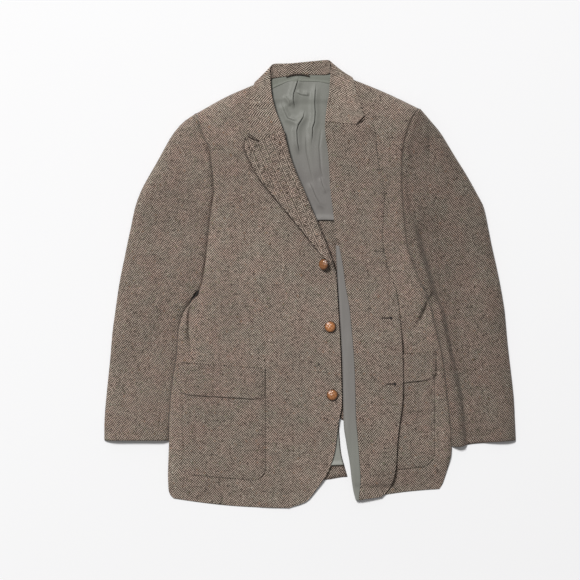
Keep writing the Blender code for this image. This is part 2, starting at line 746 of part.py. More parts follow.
def lining_back():
    """The half lining of the back, which hangs free at its hem."""
    top = column(LINING_TOP, LINING_TOP_COLUMNS, "y", "x")
    rows = []
    for step in range(LINING_ROWS + 1):
        t = (step / LINING_ROWS) ** 0.9
        points = []
        for x in LINING_COLUMNS:
            outside = max(0.0, LINING_ARMHOLES[0] - x, x - LINING_ARMHOLES[1])
            begin = top(x) - LINING_FALL * outside
            y = mix(begin, LINING_HEM + LINING_HEM_SLOPE * x, t)
            points.append((x, y, lining_height(x, y)))
        rows.append(points)
    return cloth("lining_back", rows, LINING, SAGE)


NECK_BAND_IN = 0.4         # stations that the band stays back from the ends of the stand
NECK_BAND_TOP = 1.6        # how far its upper edge stays below the stand
NECK_BAND_LOW = 1.2        # and its lower edge above the back lining
NECK_BAND_STEPS = 8


def lining_neck():
    """The strip of lining between the collar stand and the back lining."""
    top = column(LINING_TOP, LINING_TOP_COLUMNS, "y", "x")
    neck = column(COLLAR, COLLAR_COLUMNS, "neck_y")
    neck_x = column(COLLAR, COLLAR_COLUMNS, "neck_x")
    rows = [[], []]
    first, last = COLLAR_BACK
    for step in range(NECK_BAND_STEPS + 1):
        station = mix(first + NECK_BAND_IN, last - NECK_BAND_IN, step / NECK_BAND_STEPS)
        x = neck_x(station)
        for number, y in enumerate((neck(station) - NECK_BAND_TOP, top(x) + NECK_BAND_LOW)):
            rows[number].append((x, y, LINING_FLOOR + neck_raise(x, y, LINING_EARLY)))
    return cloth("lining_neck", rows, LINING, SAGE_DARK)


VENT_LINING_ROWS = (-266, -290, -316, -343)
VENT_LINING_START = -38    # x of its hidden side
VENT_LINING_SKEW = 4.0     # how much lower it ends there
VENT_LINING_IN = 2.5       # how far it stays back from the vent's edge


def lining_vent():
    """The lining beside the vent of the right back, above its turned-up hem."""
    edge = smooth_line([(y, right_x) for _, y, right_x, _ in reversed(CENTRE_BACK)])
    rows = []
    for y in VENT_LINING_ROWS:
        points = []
        for t in (0.0, 0.4, 0.8, 1.0):
            x = mix(VENT_LINING_START, edge(y) - VENT_LINING_IN, t)
            points.append((x, mix(y - VENT_LINING_SKEW, y, t), LINING_FLOOR))
        rows.append(points)
    return cloth("lining_vent", rows, LINING, SAGE)


# ---------------------------------------------------------------- collar

def leaf_dip(half, t):
    """How far an end of the leaf has come down to follow its lapel to the notch."""
    start, place, depth = LEAF_GORGE[half.name]
    if t <= start:
        return 0.0
    return depth * ((t - start) / (place - start) if t < place else (1 - t) / (1 - place))


def collar():
    read = {name: column(COLLAR, COLLAR_COLUMNS, name) for name in COLLAR_COLUMNS}
    leaf_rows = []
    stand_rows = []
    stations = len(COLLAR) - 1
    for station in range(stations + 1):
        roll_x = read["roll_x"](station)
        roll_y = read["roll_y"](station)
        roll_z = read["roll_z"](station)
        edge_x = read["edge_x"](station)
        edge_y = read["edge_y"](station)
        neck = tuple(read["neck_" + axis](station) for axis in "xyz")
        turn = math.radians(read["turn"](station))
        half = RIGHT if station < stations / 2 else LEFT
        out_x = 0.0
        out_y = 1.0
        if station <= COLLAR_BACK[0] or station >= COLLAR_BACK[1]:
            out_x = -half.sign * COLLAR_SPREAD[0]
            out_y = COLLAR_SPREAD[1]
        rim = RIM_OFFSET * math.cos(turn)
        rise = RIM_OFFSET * math.sin(turn)
        start = (roll_x + out_x * rim, roll_y + out_y * rim, roll_z + rise)
        beneath = COLLAR_BACK[0] <= station <= COLLAR_BACK[1]
        leaf = []
        for t in LEAF_STEPS:
            x = mix(start[0], edge_x, t)
            y = mix(start[1], edge_y, t)
            if station in (0, stations):
                y -= leaf_dip(half, t)
            if beneath:
                z = mix(TWEED / 2, start[2], max(0.0, 1 - t / LEAF_BEND) ** 1.5)
            elif turn < STANDING:
                z = mix(start[2], LEAF_SIDE_HEIGHT, t)
            else:
                z = half.height(x, y) + LEAF_LIFT + LEAF_ROLL * (1 - t) ** 2
                z = mix(start[2], z, smoothstep(t / LEAF_BEND))
            leaf.append((x, y, z))
        leaf_rows.append(leaf)
        top = (roll_x - out_x * rim, roll_y - out_y * rim, roll_z - rise)
        stand_rows.append([neck, tuple(mix(a, b, 0.5) for a, b in zip(neck, top)), top])
    cloth("collar_leaf", leaf_rows, TWEED, HEATHER)
    cloth("collar_stand", stand_rows, TWEED, HEATHER)


def hanger_loop():
    """The cord loop at the back neck, sewn down at both ends."""
    data = bpy.data.curves.new("hanger_loop", "CURVE")
    data.dimensions = "3D"
    data.bevel_depth = HANGER_RADIUS * MM
    data.bevel_resolution = 1
    data.use_fill_caps = True
    spline = data.splines.new("POLY")
    spline.points.add(len(HANGER_ROUTE) - 1)
    for point, place in zip(spline.points, HANGER_ROUTE):
        point.co = (place[0] * MM, place[1] * MM, place[2] * MM, 1.0)
    made = bpy.data.objects.new("hanger_loop", data)
    data.materials.append(material("hanger_loop", CORD, 0.6))
    bpy.data.collections[COLLECTION].objects.link(made)


# ---------------------------------------------------------------- pockets and buttons

def pocket_piece(name, place, corner, lift, steps):
    """A patch or flap, its top and bottom slanted and its lower corners rounded."""
    side, (left, right), top, bottom = place
    half = RIGHT if side == "right" else LEFT
    columns, count = steps
    rows = []
    for number in range(count + 1):
        t = number / count
        height = abs(mix(top[0], top[1], 0.5) - mix(bottom[0], bottom[1], 0.5))
        from_bottom = (1 - t) * height
        inset = 0.0
        if from_bottom < corner:
            inset = corner - math.sqrt(corner ** 2 - (corner - from_bottom) ** 2)
        points = []
        for step in range(columns + 1):
            u = step / columns
            u = u ** POCKET_CROWDING if half is RIGHT else 1 - (1 - u) ** POCKET_CROWDING
            x = mix(left + inset, right - inset, u)
            slant = (x - left) / (right - left)
            y = mix(mix(top[0], top[1], slant), mix(bottom[0], bottom[1], slant), t)
            points.append(half.lifted(x, y, lift))
        rows.append(points)
    cloth(name + "_" + side, rows, TWEED, HEATHER)


def pockets():
    """Patch pockets, each with its flap sewn on above it."""
    for patch, flap in zip(PATCHES, FLAPS):
        pocket_piece("pocket_patch", patch, PATCH_CORNER, TWEED + POCKET_GAP, PATCH_STEPS)
        pocket_piece("pocket_flap", flap, FLAP_CORNER, 2 * (TWEED + POCKET_GAP), FLAP_STEPS)


def buttons():
    """Woven leather balls, flattened underneath, on the edge of the right front."""
    for number, (x, y, tilt, lift) in enumerate(BUTTONS, 1):
        name = "button_" + str(number)
        mesh = bpy.data.meshes.new(name)
        points = [(radius * MM, 0.0, height * MM) for radius, height in BUTTON_PROFILE]
        edges = [(step, step + 1) for step in range(len(points) - 1)]
        mesh.from_pydata(points, edges, [])
        made = add_object(name, mesh, material("button_leather", LEATHER, 0.35))
        turn = made.modifiers.new("turn", "SCREW")
        turn.steps = BUTTON_SIDES
        turn.render_steps = BUTTON_SIDES
        turn.use_merge_vertices = True
        turn.merge_threshold = 0.00005
        turn.use_smooth_shade = True
        made.location = (x * MM, y * MM, (RIGHT.height(x, y) + TWEED / 2 + lift) * MM)
        made.rotation_euler = (0.0, math.radians(-tilt), 0.0)


def main():
    for old in list(bpy.data.objects):
        bpy.data.objects.remove(old, do_unlink=True)
    collection = bpy.data.collections.new(COLLECTION)
    bpy.context.scene.collection.children.link(collection)
    back(RIGHT, "back_right", "right_x")
    back(LEFT, "back_left", "left_x")
    sleeve(RIGHT, "sleeve_right")
    sleeve(LEFT, "sleeve_left")
    front(RIGHT, "front_right", 16, 6)
    front(LEFT, "front_left", 14, 7)
    facing_right()
    facing_left()
    lining_left()
    lining_back()
    lining_neck()
    lining_vent()
    collar()
    hanger_loop()
    pockets()
    buttons()


main()
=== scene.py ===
"""Herringbone tweed hacking jacket, half lined, laid on its back: its cloth and finishes.

Sizes are in millimetres unless a name says otherwise: +X to the wearer's left, +Y to the
collar, +Z up from the surface that the jacket lies on.
"""
import math

import bpy
import numpy as np
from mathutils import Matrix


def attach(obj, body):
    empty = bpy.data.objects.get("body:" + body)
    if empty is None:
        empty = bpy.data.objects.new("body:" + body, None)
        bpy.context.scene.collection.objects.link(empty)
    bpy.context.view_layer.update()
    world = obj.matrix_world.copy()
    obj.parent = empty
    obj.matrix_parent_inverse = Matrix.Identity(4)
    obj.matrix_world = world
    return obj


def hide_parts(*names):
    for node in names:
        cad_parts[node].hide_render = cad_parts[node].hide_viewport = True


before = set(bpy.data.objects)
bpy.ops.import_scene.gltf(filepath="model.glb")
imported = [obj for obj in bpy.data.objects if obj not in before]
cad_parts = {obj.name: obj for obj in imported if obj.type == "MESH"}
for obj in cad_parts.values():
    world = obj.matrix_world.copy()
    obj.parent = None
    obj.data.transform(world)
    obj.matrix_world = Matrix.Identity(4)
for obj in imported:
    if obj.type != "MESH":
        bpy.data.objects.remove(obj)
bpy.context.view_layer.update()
MM = 0.001


# ================================================================ studio
# A pale seamless floor under the jacket, an even sky of white card round it and one large
# softbox above the wearer's right shoulder. The camera hangs straight over the jacket.

VIEW_WIDTH = 1.102         # metres of floor across the picture
VIEW_CENTRE = (-0.038, -0.0114)
CAMERA_HEIGHT = 3.4
CAMERA_REACH = 50.0
SENSOR_WIDTH = 36.0
FLOOR_SIZE = 24.0
FLOOR_DROP = 0.0004        # below the jacket, in metres
FLOOR_WHITE = (0.90, 0.90, 0.905)
FLOOR_SHADE = (0.885, 0.88, 0.885)
FLOOR_CLOUDS = 1.3         # scale of the noise between the two
SKY_STRENGTH = 0.25
LAMP_SIZE = 4.8
LAMP_ENERGY = 3690.0
LAMP_PLACE = (-6.6, 9.5, 15.4)

scene = bpy.context.scene
scene.view_settings.view_transform = "Standard"
scene.view_settings.look = "None"


class Finish:
    """A procedural material, and short ways to add the nodes of its colour and relief.
    A value that a method takes is a number, a tuple or the output of another node."""

    def __init__(self, name):
        self.made = bpy.data.materials.new(name)
        self.made.use_nodes = True
        self.tree = self.made.node_tree

    def fill(self, target, values):
        for key, value in values.items():
            socket = target.inputs[key]
            if hasattr(value, "links"):
                self.tree.links.new(value, socket)
            else:
                socket.default_value = value

    def add(self, kind, values=None, output=0, **settings):
        added = self.tree.nodes.new("ShaderNode" + kind)
        for key, value in settings.items():
            setattr(added, key, value)
        self.fill(added, values or {})
        return added.outputs[output]

    def calc(self, operation, first, second=0.0, third=0.0):
        """A sum with numbers; "vector" and "scaled" do the same with vectors and colours."""
        return self.add("Math", {0: first, 1: second, 2: third}, operation=operation)

    def vector(self, operation, first, second):
        return self.add("VectorMath", {0: first, 1: second}, operation=operation)

    def scaled(self, first, scale):
        return self.add("VectorMath", {0: first, "Scale": scale}, operation="SCALE")

    def noise(self, place, scale, detail=2.0, roughness=0.5, output="Fac"):
        return self.add("TexNoise", {"Vector": place, "Scale": scale, "Detail": detail,
                                     "Roughness": roughness}, output)

    def ramp(self, value, low, high, start=0.0, end=1.0):
        """A value that goes from start to end while another goes from low to high."""
        return self.add("MapRange", {"Value": value, 1: low, 2: high, 3: start, 4: end})

    def blend(self, share, first, second):
        """A colour between two, each either three numbers or another node's output."""
        first, second = (colour if hasattr(colour, "links") else (*colour, 1.0)
                         for colour in (first, second))
        return self.add("Mix", {0: share, 6: first, 7: second}, 2, data_type="RGBA")

    def done(self, bump=None, **values):
        """Sets the shader: its inputs by name, and the height, strength and depth of relief."""
        shader = self.tree.nodes["Principled BSDF"]
        self.fill(shader, {key.replace("_", " "): value for key, value in values.items()})
        if bump:
            height, strength, depth = bump
            relief = self.add("Bump", {"Height": height, "Strength": strength,
                                       "Distance": depth})
            self.tree.links.new(relief, shader.inputs["Normal"])
        return self.made


def floor_material():
    finish = Finish("pale_floor")
    cloud = finish.noise(finish.add("TexCoord", output="Object"), FLOOR_CLOUDS)
    return finish.done(Base_Color=finish.blend(cloud, FLOOR_WHITE, FLOOR_SHADE),
                       Roughness=0.85, Specular_IOR_Level=0.2)


bpy.ops.mesh.primitive_plane_add(size=FLOOR_SIZE, location=(0.0, 0.0, -FLOOR_DROP))
floor = bpy.context.object
floor.name = "floor"
floor.data.materials.append(floor_material())

sky = bpy.data.worlds.new("white_card")
sky.use_nodes = True
card = sky.node_tree.nodes["Background"]
card.inputs["Color"].default_value = (1.0, 1.0, 1.0, 1.0)
card.inputs["Strength"].default_value = SKY_STRENGTH
scene.world = sky

lamp = bpy.data.lights.new("softbox", "AREA")
lamp.shape = "DISK"
lamp.size = LAMP_SIZE
lamp.energy = LAMP_ENERGY
softbox = bpy.data.objects.new("softbox", lamp)
scene.collection.objects.link(softbox)
softbox.location = LAMP_PLACE
softbox.rotation_euler = (-softbox.location).to_track_quat("-Z", "Y").to_euler()

lens = bpy.data.cameras.new("camera")
lens.sensor_width = SENSOR_WIDTH
lens.lens = SENSOR_WIDTH * CAMERA_HEIGHT / VIEW_WIDTH
lens.clip_end = CAMERA_REACH
camera = bpy.data.objects.new("camera", lens)
scene.collection.objects.link(camera)
camera.location = (*VIEW_CENTRE, CAMERA_HEIGHT)
scene.camera = camera


# ================================================================ back, two halves
# The back of the jacket is two lengths of tweed joined down the middle, parted below into
# a centre vent. It lies flat, tweed side down, and everything else lies on it.

TWEED = 1.35               # wall of one layer of tweed
GAP = 0.35                 # space between layers that lie on each other
NECK_RAISE = TWEED + GAP   # the back neck lies on the turned-down collar,
NECK_RAISE_X = (-128, 104)    # which lifts it between these places, and over what width
NECK_RAISE_Y = 356
NECK_RAISE_WIDTH = (16, 12)
BACK_STEPS = (133, 34)     # rows and columns of its points
BACK_INSET = 1.2           # how far the lower cloth stays back from a folded side
BACK_HEM_INSET = 3.5       # and how much more at the back's hem
BACK_GRAIN = 0.11          # lean of the back's columns from upright
PRESSED_EDGE = 0.5         # share of the wall that is left at a pressed edge

HEATHER_LIGHT = (0.594, 0.473, 0.396)
HEATHER_DARK = (0.034, 0.025, 0.019)
HEATHER_WARM = (1.035, 0.985, 0.970)    # drift of its hue from place to place
HEATHER_COOL = (0.965, 1.012, 0.990)
SHEEN_TINT = (0.86, 0.78, 0.70, 1.0)
COLUMN_WIDTH = 7.0         # one slope of the herringbone
TWILL_PITCH = 4.85         # from one diagonal to the next, along the column
TWILL_SLOPE = 1.25         # how steeply a diagonal climbs across its column
YARN_PITCH = 1.2           # from one yarn to the next
WEAVE_DRIFT = 3.0          # how far the yarns stray from their straight lines
DRIFT_SCALE = 22.0
WAVE_SHARE = 1.85          # how much of the contrast the twill has
WAVE_BASE = -0.42
GRID_SHARE = 0.10          # and how much the single yarns
WORN_SCALE = 9.0           # patches where the cloth is worn, and how dark and light they are
WORN = (0.90, 1.10)
HUE_SCALE = 26.0
TWEED_RELIEF = (0.30, 0.8, 0.20)    # shares of twill, uneven yarn and single yarns in it
# Unevenness of the yarn: how fine, its detail and roughness, and its share of the contrast.
YARN_NOISE = (
    (620.0, 2.0, 0.65, 1.7),
    (230.0, 3.0, 0.70, 4.4),
    (85.0, 2.0, 0.50, 1.3),
)
FLECK_EDGE = 0.05          # how soft a fleck's edge is
# Coloured flecks: how fine, how rare, their colour and how strong it is.
FLECKS = (
    (150.0, 0.675, (0.25, 0.12, 0.06), 0.4),
    (170.0, 0.670, (0.15, 0.16, 0.09), 0.5),
    (240.0, 0.690, (0.60, 0.54, 0.46), 0.6),
    (260.0, 0.680, (0.025, 0.02, 0.018), 0.8),
)

# Sections of the wearer's right half, from shoulder to hem: sleeve edge, armhole and side
# seam, roll of the lapel or front edge, free edge of the lapel, and how far it is turned.
SECTION_COLUMNS = ("outer_x", "outer_y", "seam_x", "seam_y", "roll_x", "roll_y",
                   "edge_x", "edge_y", "turn")
SECTIONS = {
    "right": (
        (-220, 321, -215, 324, -74, 388, -80, 388, 12),
        (-241, 306, -209, 304, -74, 378, -80, 378, 12),
        (-262, 281, -202, 282, -72, 363, -78, 363, 12),
        (-277, 255, -194, 267, -69, 347, -75, 347, 12),
        (-293, 226, -189, 251, -65, 331, -71, 331, 12),
        (-308, 200, -186, 226, -57, 313, -63, 313, 12),
        (-321, 175, -183, 198, -49, 291, -121, 280, 180),
        (-332, 144, -182, 175, -44, 268, -123, 258, 180),
        (-339, 110, -186, 148, -37, 241, -114, 232, 180),
        (-346, 78, -190, 118, -27, 213, -95, 198, 180),
        (-352, 48, -194, 87, -13, 180, -72, 169, 180),
        (-359, 15, -199, 42, 6, 135, -40, 131, 180),
        (-364, -15, -205, 0, 23, 95, -8, 92, 180),
        (-367, -36, -217, -21, 36, 61, 17, 59, 170),
        (-371, -65, -239, -51, 46, 30, 38, 28, 95),
        (-375, -95, -250, -89, 51, -11, 45, -11, 12),
        (-378, -133, -253, -133, 54, -65, 48, -65, 12),
        (-382, -173, -259, -171, 57, -116, 51, -116, 12),
        (-387, -222, -265, -222, 59, -177, 53, -177, 12),
        (-390, -266, -268, -266, 60, -224, 54, -224, 12),
        (-390, -297, -268, -297, 53, -266, 47, -266, 12),
        (None, None, -269, -331, 47, -314, 41, -314, 12),
        (None, None, -270, -363, 35, -353, 29, -352, 12),
        (None, None, -269, -390, 13, -388, 7, -385, 12),
        (None, None, -266, -400, -9, -413, -14, -409, 12),
        (None, None, -260, -407, -42, -425, -45, -419, 12),
    ),
    "left": (
        (211, 330, 206, 333, 40, 400, 46, 400, 12),
        (228, 310, 194, 315, 38, 388, 44, 388, 12),
        (247, 287, 186, 296, 37, 376, 43, 376, 12),
        (262, 263, 180, 276, 36, 359, 42, 359, 12),
        (277, 238, 176, 255, 33, 342, 39, 342, 12),
        (291, 216, 174, 230, 30, 326, 36, 326, 12),
        (304, 194, 174, 203, 28, 306, 108, 314, 180),
        (317, 170, 175, 177, 29, 283, 124, 281, 180),
        (329, 146, 177, 148, 33, 256, 126, 255, 180),
        (336, 114, 180, 118, 36, 220, 133, 213, 180),
        (343, 78, 183, 84, 38, 182, 141, 175, 180),
        (352, 38, 196, 40, 42, 148, 140, 137, 180),
        (360, 0, 209, 2, 46, 112, 137, 95, 180),
        (366, -34, 225, -30, 48, 68, 142, 57, 180),
        (369, -55, 231, -51, 50, 30, 148, 27, 180),
        (372, -89, 240, -89, 53, -15, 163, -15, 180),
        (376, -129, 250, -129, 56, -65, 170, -63, 180),
        (381, -171, 256, -171, 59, -116, 174, -116, 180),
        (386, -217, 261, -217, 61, -169, 176, -169, 180),
        (388, -258, 266, -258, 62, -220, 175, -220, 180),
        (390, -297, 269, -306, 63, -266, 169, -266, 180),
        (None, None, 268, -325, 68, -302, 165, -302, 180),
        (None, None, 262, -346, 75, -344, 162, -350, 180),
        (None, None, 256, -367, 79, -378, 154, -380, 180),
        (None, None, 252, -379, 82, -395, 146, -394, 180),
        (None, None, 246, -389, 86, -410, 135, -404, 180),
    ),
}
BACK_HEM_SAG = 7.0         # how far the back's hem drops away from the vent
BACK_HEM_SAG_WIDTH = 48
NECK_BACK_BOW = 16         # how far the back neck bows up
NECK_BACK_ROWS = 4         # and the sections over which it does

# The centre back, from the neck down: row, y, edge of the right half, edge of the left.
CENTRE_BACK = (
    (0, 391, -17.3, -16.7),
    (0.55, 384, -16.5, -15.9),
    (1, 377, -15.7, -15.1),
    (2, 361, -13.9, -13.3),
    (3, 346, -12.1, -11.5),
    (4, 330, -10.3, -9.7),
    (6, 290, -5.8, -5.2),
    (8, 240, 0.0, 0.6),
    (10, 180, 6.8, 7.4),
    (12, 95, 16.5, 17.1),
    (14, 30, 23.9, 24.5),
    (16, -65, 34.7, 35.3),
    (18, -177, 47.5, 48.1),
    (19, -255, 56.4, 57.0),
    (20, -261, 54.4, 66.0),
    (21, -314, 58.0, 76.0),
    (22, -366, 71.0, 88.0),
)
BACK_SIDE_END_Y = -358     # where its side seam ends above the hem


def smooth_line(knots):
    """Gives a function that reads a smooth line through (place, value) knots."""
    places, values = (np.array(column, float) for column in zip(*knots))
    widths = np.diff(places)
    steps = np.diff(values) / widths
    slopes = np.empty(len(places))
    slopes[0] = steps[0]
    slopes[-1] = steps[-1]
    product = steps[:-1] * steps[1:]
    total = np.where(steps[:-1] + steps[1:] == 0, 1.0, steps[:-1] + steps[1:])
    slopes[1:-1] = np.where(product <= 0, 0.0, 2 * product / total)

    def read(place):
        place = np.clip(place, places[0], places[-1])
        index = np.clip(np.searchsorted(places, place, side="left") - 1, 0, len(widths) - 1)
        width = widths[index]
        t = (place - places[index]) / width
        rest = 1 - t
        return (values[index] * (1 + 2 * t) * rest ** 2
                + values[index + 1] * t ** 2 * (3 - 2 * t)
                + slopes[index] * width * t * rest ** 2
                - slopes[index + 1] * width * t ** 2 * rest)

    return read


def smoothstep(t):
    t = np.clip(t, 0.0, 1.0)
    return t * t * (3 - 2 * t)


def rises(value, start, span):
    """0 up to the start, and from there smoothly up to 1 over the span."""
    return smoothstep((value - start) / span)


def falls(value, end, span):
    """1 until a span before the end, and from there smoothly down to 0."""
    return smoothstep((end - value) / span)


def mix(a, b, t):
    return a + (b - a) * t


def grid(first, last, rows, columns):
    """Places of a piece's rows, between two sections, and of its columns, from 0 to 1."""
    return np.linspace(first, last, rows)[:, None], np.linspace(0, 1, columns)[None, :]


def neck_raise(x, y, early=0.0):
    """Height by which the collar's leaf, which lies under it, lifts the back neck."""
    left, right = NECK_RAISE_X
    across_span, up_span = NECK_RAISE_WIDTH
    across = rises(x, left - early, across_span) * falls(x, right + early, across_span)
    return NECK_RAISE * rises(y, NECK_RAISE_Y - early, up_span) * across


class Outline:
    """Smooth lines through the sections of one half of the jacket."""

    def __init__(self, name):
        self.name = name
        self.sign = 1 if name == "right" else -1
        self.read = {}
        for place, title in enumerate(SECTION_COLUMNS):
            knots = [(number, row[place]) for number, row in enumerate(SECTIONS[name])
                     if row[place] is not None]
            self.read[title] = smooth_line(knots)

    def point(self, name, row):
        return self.read[name + "_x"](row), self.read[name + "_y"](row)


OUTLINES = {"right": Outline("right"), "left": Outline("left")}


def toned(colour, tone):
    return tuple(value * tone for value in colour)


def tweed_material(name, tone=1.0, bias=0.0, regular=1.0):
    """Herringbone: columns of twill that slope to and fro, of heathered yarn with flecks.
    It reads the map "weave", in metres: across the columns, and along them. "bias" turns
    it on its panel, and a less "regular" twill shows less."""
    finish = Finish(name)
    calc = finish.calc
    weave = finish.add("UVMap", uv_map="weave")
    turned = finish.add("VectorRotate", {"Vector": weave, "Angle": bias},
                        rotation_type="Z_AXIS")
    stray = finish.noise(turned, DRIFT_SCALE, output="Color")
    stray = finish.vector("SUBTRACT", stray, (0.5, 0.5, 0.5))
    drawn = finish.vector("ADD", turned, finish.scaled(stray, WEAVE_DRIFT * MM))
    across, along = (finish.add("SeparateXYZ", {0: drawn}, axis) for axis in "XY")
    slope = calc("PINGPONG", across, COLUMN_WIDTH * MM)
    column = calc("FLOOR", calc("DIVIDE", across, COLUMN_WIDTH * MM))
    phase = calc("MULTIPLY_ADD", slope, TWILL_SLOPE, along)
    phase = calc("MULTIPLY_ADD", calc("PINGPONG", column, 1.0), TWILL_PITCH * MM / 2, phase)
    wave = calc("SINE", calc("MULTIPLY", phase, 2 * math.pi / (TWILL_PITCH * MM)))
    warp, weft = (calc("SINE", calc("MULTIPLY", place, 2 * math.pi / (YARN_PITCH * MM)))
                  for place in (across, along))
    yarns = calc("MULTIPLY", warp, weft)
    lit = calc("MULTIPLY_ADD", wave, WAVE_SHARE * regular, WAVE_BASE)
    lit = calc("MULTIPLY_ADD", yarns, GRID_SHARE, lit)
    uneven = [finish.noise(drawn, *look) for *look, _ in YARN_NOISE]
    for value, (*_, share) in zip(uneven, YARN_NOISE):
        lit = calc("ADD", lit, calc("MULTIPLY", calc("SUBTRACT", value, 0.5), share))
    lit = finish.add("Clamp", {"Value": lit})
    colour = finish.blend(lit, toned(HEATHER_DARK, tone), toned(HEATHER_LIGHT, tone))
    for number, (scale, limit, tint, strength) in enumerate(FLECKS):
        moved = finish.vector("ADD", drawn, (number + 1.0, number * 3.0, 0.0))
        mask = finish.ramp(finish.noise(moved, scale, 1.0), limit, limit + FLECK_EDGE,
                           0.0, strength)
        colour = finish.blend(mask, colour, toned(tint, tone))
    worn = finish.ramp(finish.noise(weave, WORN_SCALE, 3.0), 0.3, 0.7, *WORN)
    drift = finish.ramp(finish.noise(weave, HUE_SCALE), 0.35, 0.65)
    colour = finish.vector("MULTIPLY", finish.scaled(colour, worn),
                           finish.blend(drift, HEATHER_WARM, HEATHER_COOL))
    twill_share, uneven_share, yarn_share = TWEED_RELIEF
    relief = calc("MULTIPLY_ADD", wave, twill_share, calc("MULTIPLY", uneven[0], uneven_share))
    relief = calc("MULTIPLY_ADD", yarns, yarn_share, relief)
    return finish.done(bump=(relief, 0.55, 0.0006), Base_Color=colour, Roughness=0.92,
                       Specular_IOR_Level=0.18, Sheen_Weight=0.25, Sheen_Roughness=0.45,
                       Sheen_Tint=SHEEN_TINT)


back_tweed = tweed_material("back_tweed", 0.88)


def shown(name, mesh, finish):
    """A piece of the jacket made from its mesh, which rides on its one body."""
    mesh.shade_smooth()
    mesh.materials.append(finish)
    made = bpy.data.objects.new(name, mesh)
    scene.collection.objects.link(made)
    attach(made, "root")
    return made


def cloth(name, node_name, place, weave, finish, wall=TWEED, counts=None):
    """A wall of cloth on rows of middle points, pressed thinner along its edges. "place" has
    their x, y and z, and "weave" where they lie in the weave. A row that "counts" makes
    short ends before its neighbour does, and what the longer one has beyond it is free."""
    points = np.stack(np.broadcast_arrays(*place), 2)
    threads = np.stack(np.broadcast_arrays(*weave), 2)
    if counts is None:
        counts = np.full(len(points), points.shape[1])
    kept = np.arange(points.shape[1]) < counts[:, None]
    points = points[kept]
    threads = threads[kept] * MM
    starts = np.cumsum([0, *counts])
    faces = []
    for number in range(len(counts) - 1):
        upper, lower = (starts[row] + np.arange(min(counts[number:number + 2]) - 1)
                        for row in (number, number + 1))
        faces.append(np.stack([upper, lower, lower + 1, upper + 1], axis=1))
    faces = np.concatenate(faces)
    mesh = bpy.data.meshes.new(name)
    mesh.from_pydata((points * MM).tolist(), [], faces.tolist())
    uv = mesh.uv_layers.new(name="weave")
    uv.data.foreach_set("uv", threads[faces.ravel()].astype(np.float32).ravel())
    made = shown(name, mesh, finish)
    sides = np.sort(np.stack([faces, np.roll(faces, -1, axis=1)], axis=2), axis=2).reshape(-1, 2)
    sides, uses = np.unique(sides, axis=0, return_counts=True)
    rim = np.unique(sides[uses == 1])
    made.vertex_groups.new(name="body").add(np.arange(len(points)).tolist(), 1.0, "REPLACE")
    made.vertex_groups["body"].add(rim.tolist(), 0.0, "REPLACE")
    solid = made.modifiers.new("wall", "SOLIDIFY")
    solid.thickness = wall * MM
    solid.offset = 0.0
    solid.use_rim = True
    solid.vertex_group = "body"
    solid.thickness_vertex_group = PRESSED_EDGE
    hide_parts(node_name)
    return made


def back_half(name, centre_place):
    half = OUTLINES[name]
    centre_x = smooth_line([(row[0], row[centre_place]) for row in CENTRE_BACK])
    centre_y = smooth_line([(row[0], row[1]) for row in CENTRE_BACK])
    hem_row = CENTRE_BACK[-1][0]
    rows, across = grid(0, hem_row, *BACK_STEPS)
    at_hem = rises(rows, hem_row - 1, 1)
    seam_x, seam_y = half.point("seam", rows)
    seam_y = mix(seam_y, BACK_SIDE_END_Y, at_hem)
    inner_x = centre_x(rows)
    inset = BACK_INSET + BACK_HEM_INSET * at_hem
    t = mix(inset / np.abs(inner_x - seam_x), 1.0, across)
    x = mix(seam_x, inner_x, t)
    bow = NECK_BACK_BOW * np.maximum(0.0, 1 - rows / NECK_BACK_ROWS)
    y = mix(seam_y, centre_y(rows), t) + bow * np.sin(math.pi * t)
    if name == "right":
        y = y - BACK_HEM_SAG * smoothstep((inner_x - x) / BACK_HEM_SAG_WIDTH) * at_hem
    z = TWEED / 2 + neck_raise(x, y)
    return cloth("back_" + name + "_cloth", "back_" + name, (x, y, z),
                 (x + BACK_GRAIN * y, y), back_tweed)


back_right = back_half("right", 2)
back_left = back_half("left", 3)


# ================================================================ under sleeves
# The narrower, under half of each two-piece sleeve. It lies flat on the floor beneath the
# top sleeve and is joined to it along both folded edges, from underarm to cuff.

CUFF_ROW = 20              # the section where the cuffs are
UNDER_SLEEVE_STEPS = (96, 18)
SLEEVE_LEAN = {"right": math.radians(-10.0), "left": math.radians(10.5)}

# Painted shade: each sleeve takes a darkened copy of the tweed, 0.90 on the right and 0.70 on the
# left, for the dimmer light that falls on the sleeves.
shaded_sleeve_tweed = {"right": tweed_material("shaded_sleeve_tweed", 0.90),
                "left": tweed_material("shaded_sleeve_tweed_left", 0.70)}


def leaned(x, y, lean):
    """Threads of a sleeve: across it and along it, on an axis that leans from upright."""
    return (x * math.cos(lean) + y * math.sin(lean), y * math.cos(lean) - x * math.sin(lean))


def under_sleeve(name):
    half = OUTLINES[name]
    rows, across = grid(1, CUFF_ROW, *UNDER_SLEEVE_STEPS)
    outer_x, outer_y = half.point("outer", rows)
    seam_x, seam_y = half.point("seam", rows)
    width = np.abs(seam_x - outer_x)
    t = mix(BACK_INSET / width, 1 - BACK_INSET / width, across)
    x = mix(outer_x, seam_x, t)
    y = mix(outer_y, seam_y, t)
    z = np.full_like(x, TWEED / 2)
    node = "sleeve_" + name + "_under"
    made = cloth(node + "_cloth", node, (x, y, z), leaned(x, y, SLEEVE_LEAN[name]),
                 shaded_sleeve_tweed[name])


for side in ("right", "left"):
    under_sleeve(side)


# ================================================================ lining of the back
# A half lining of grey-green satin twill, sewn in at the neck under a darker band and hung
# free at its hem across the shoulder blades. A small piece lines one side of the vent.

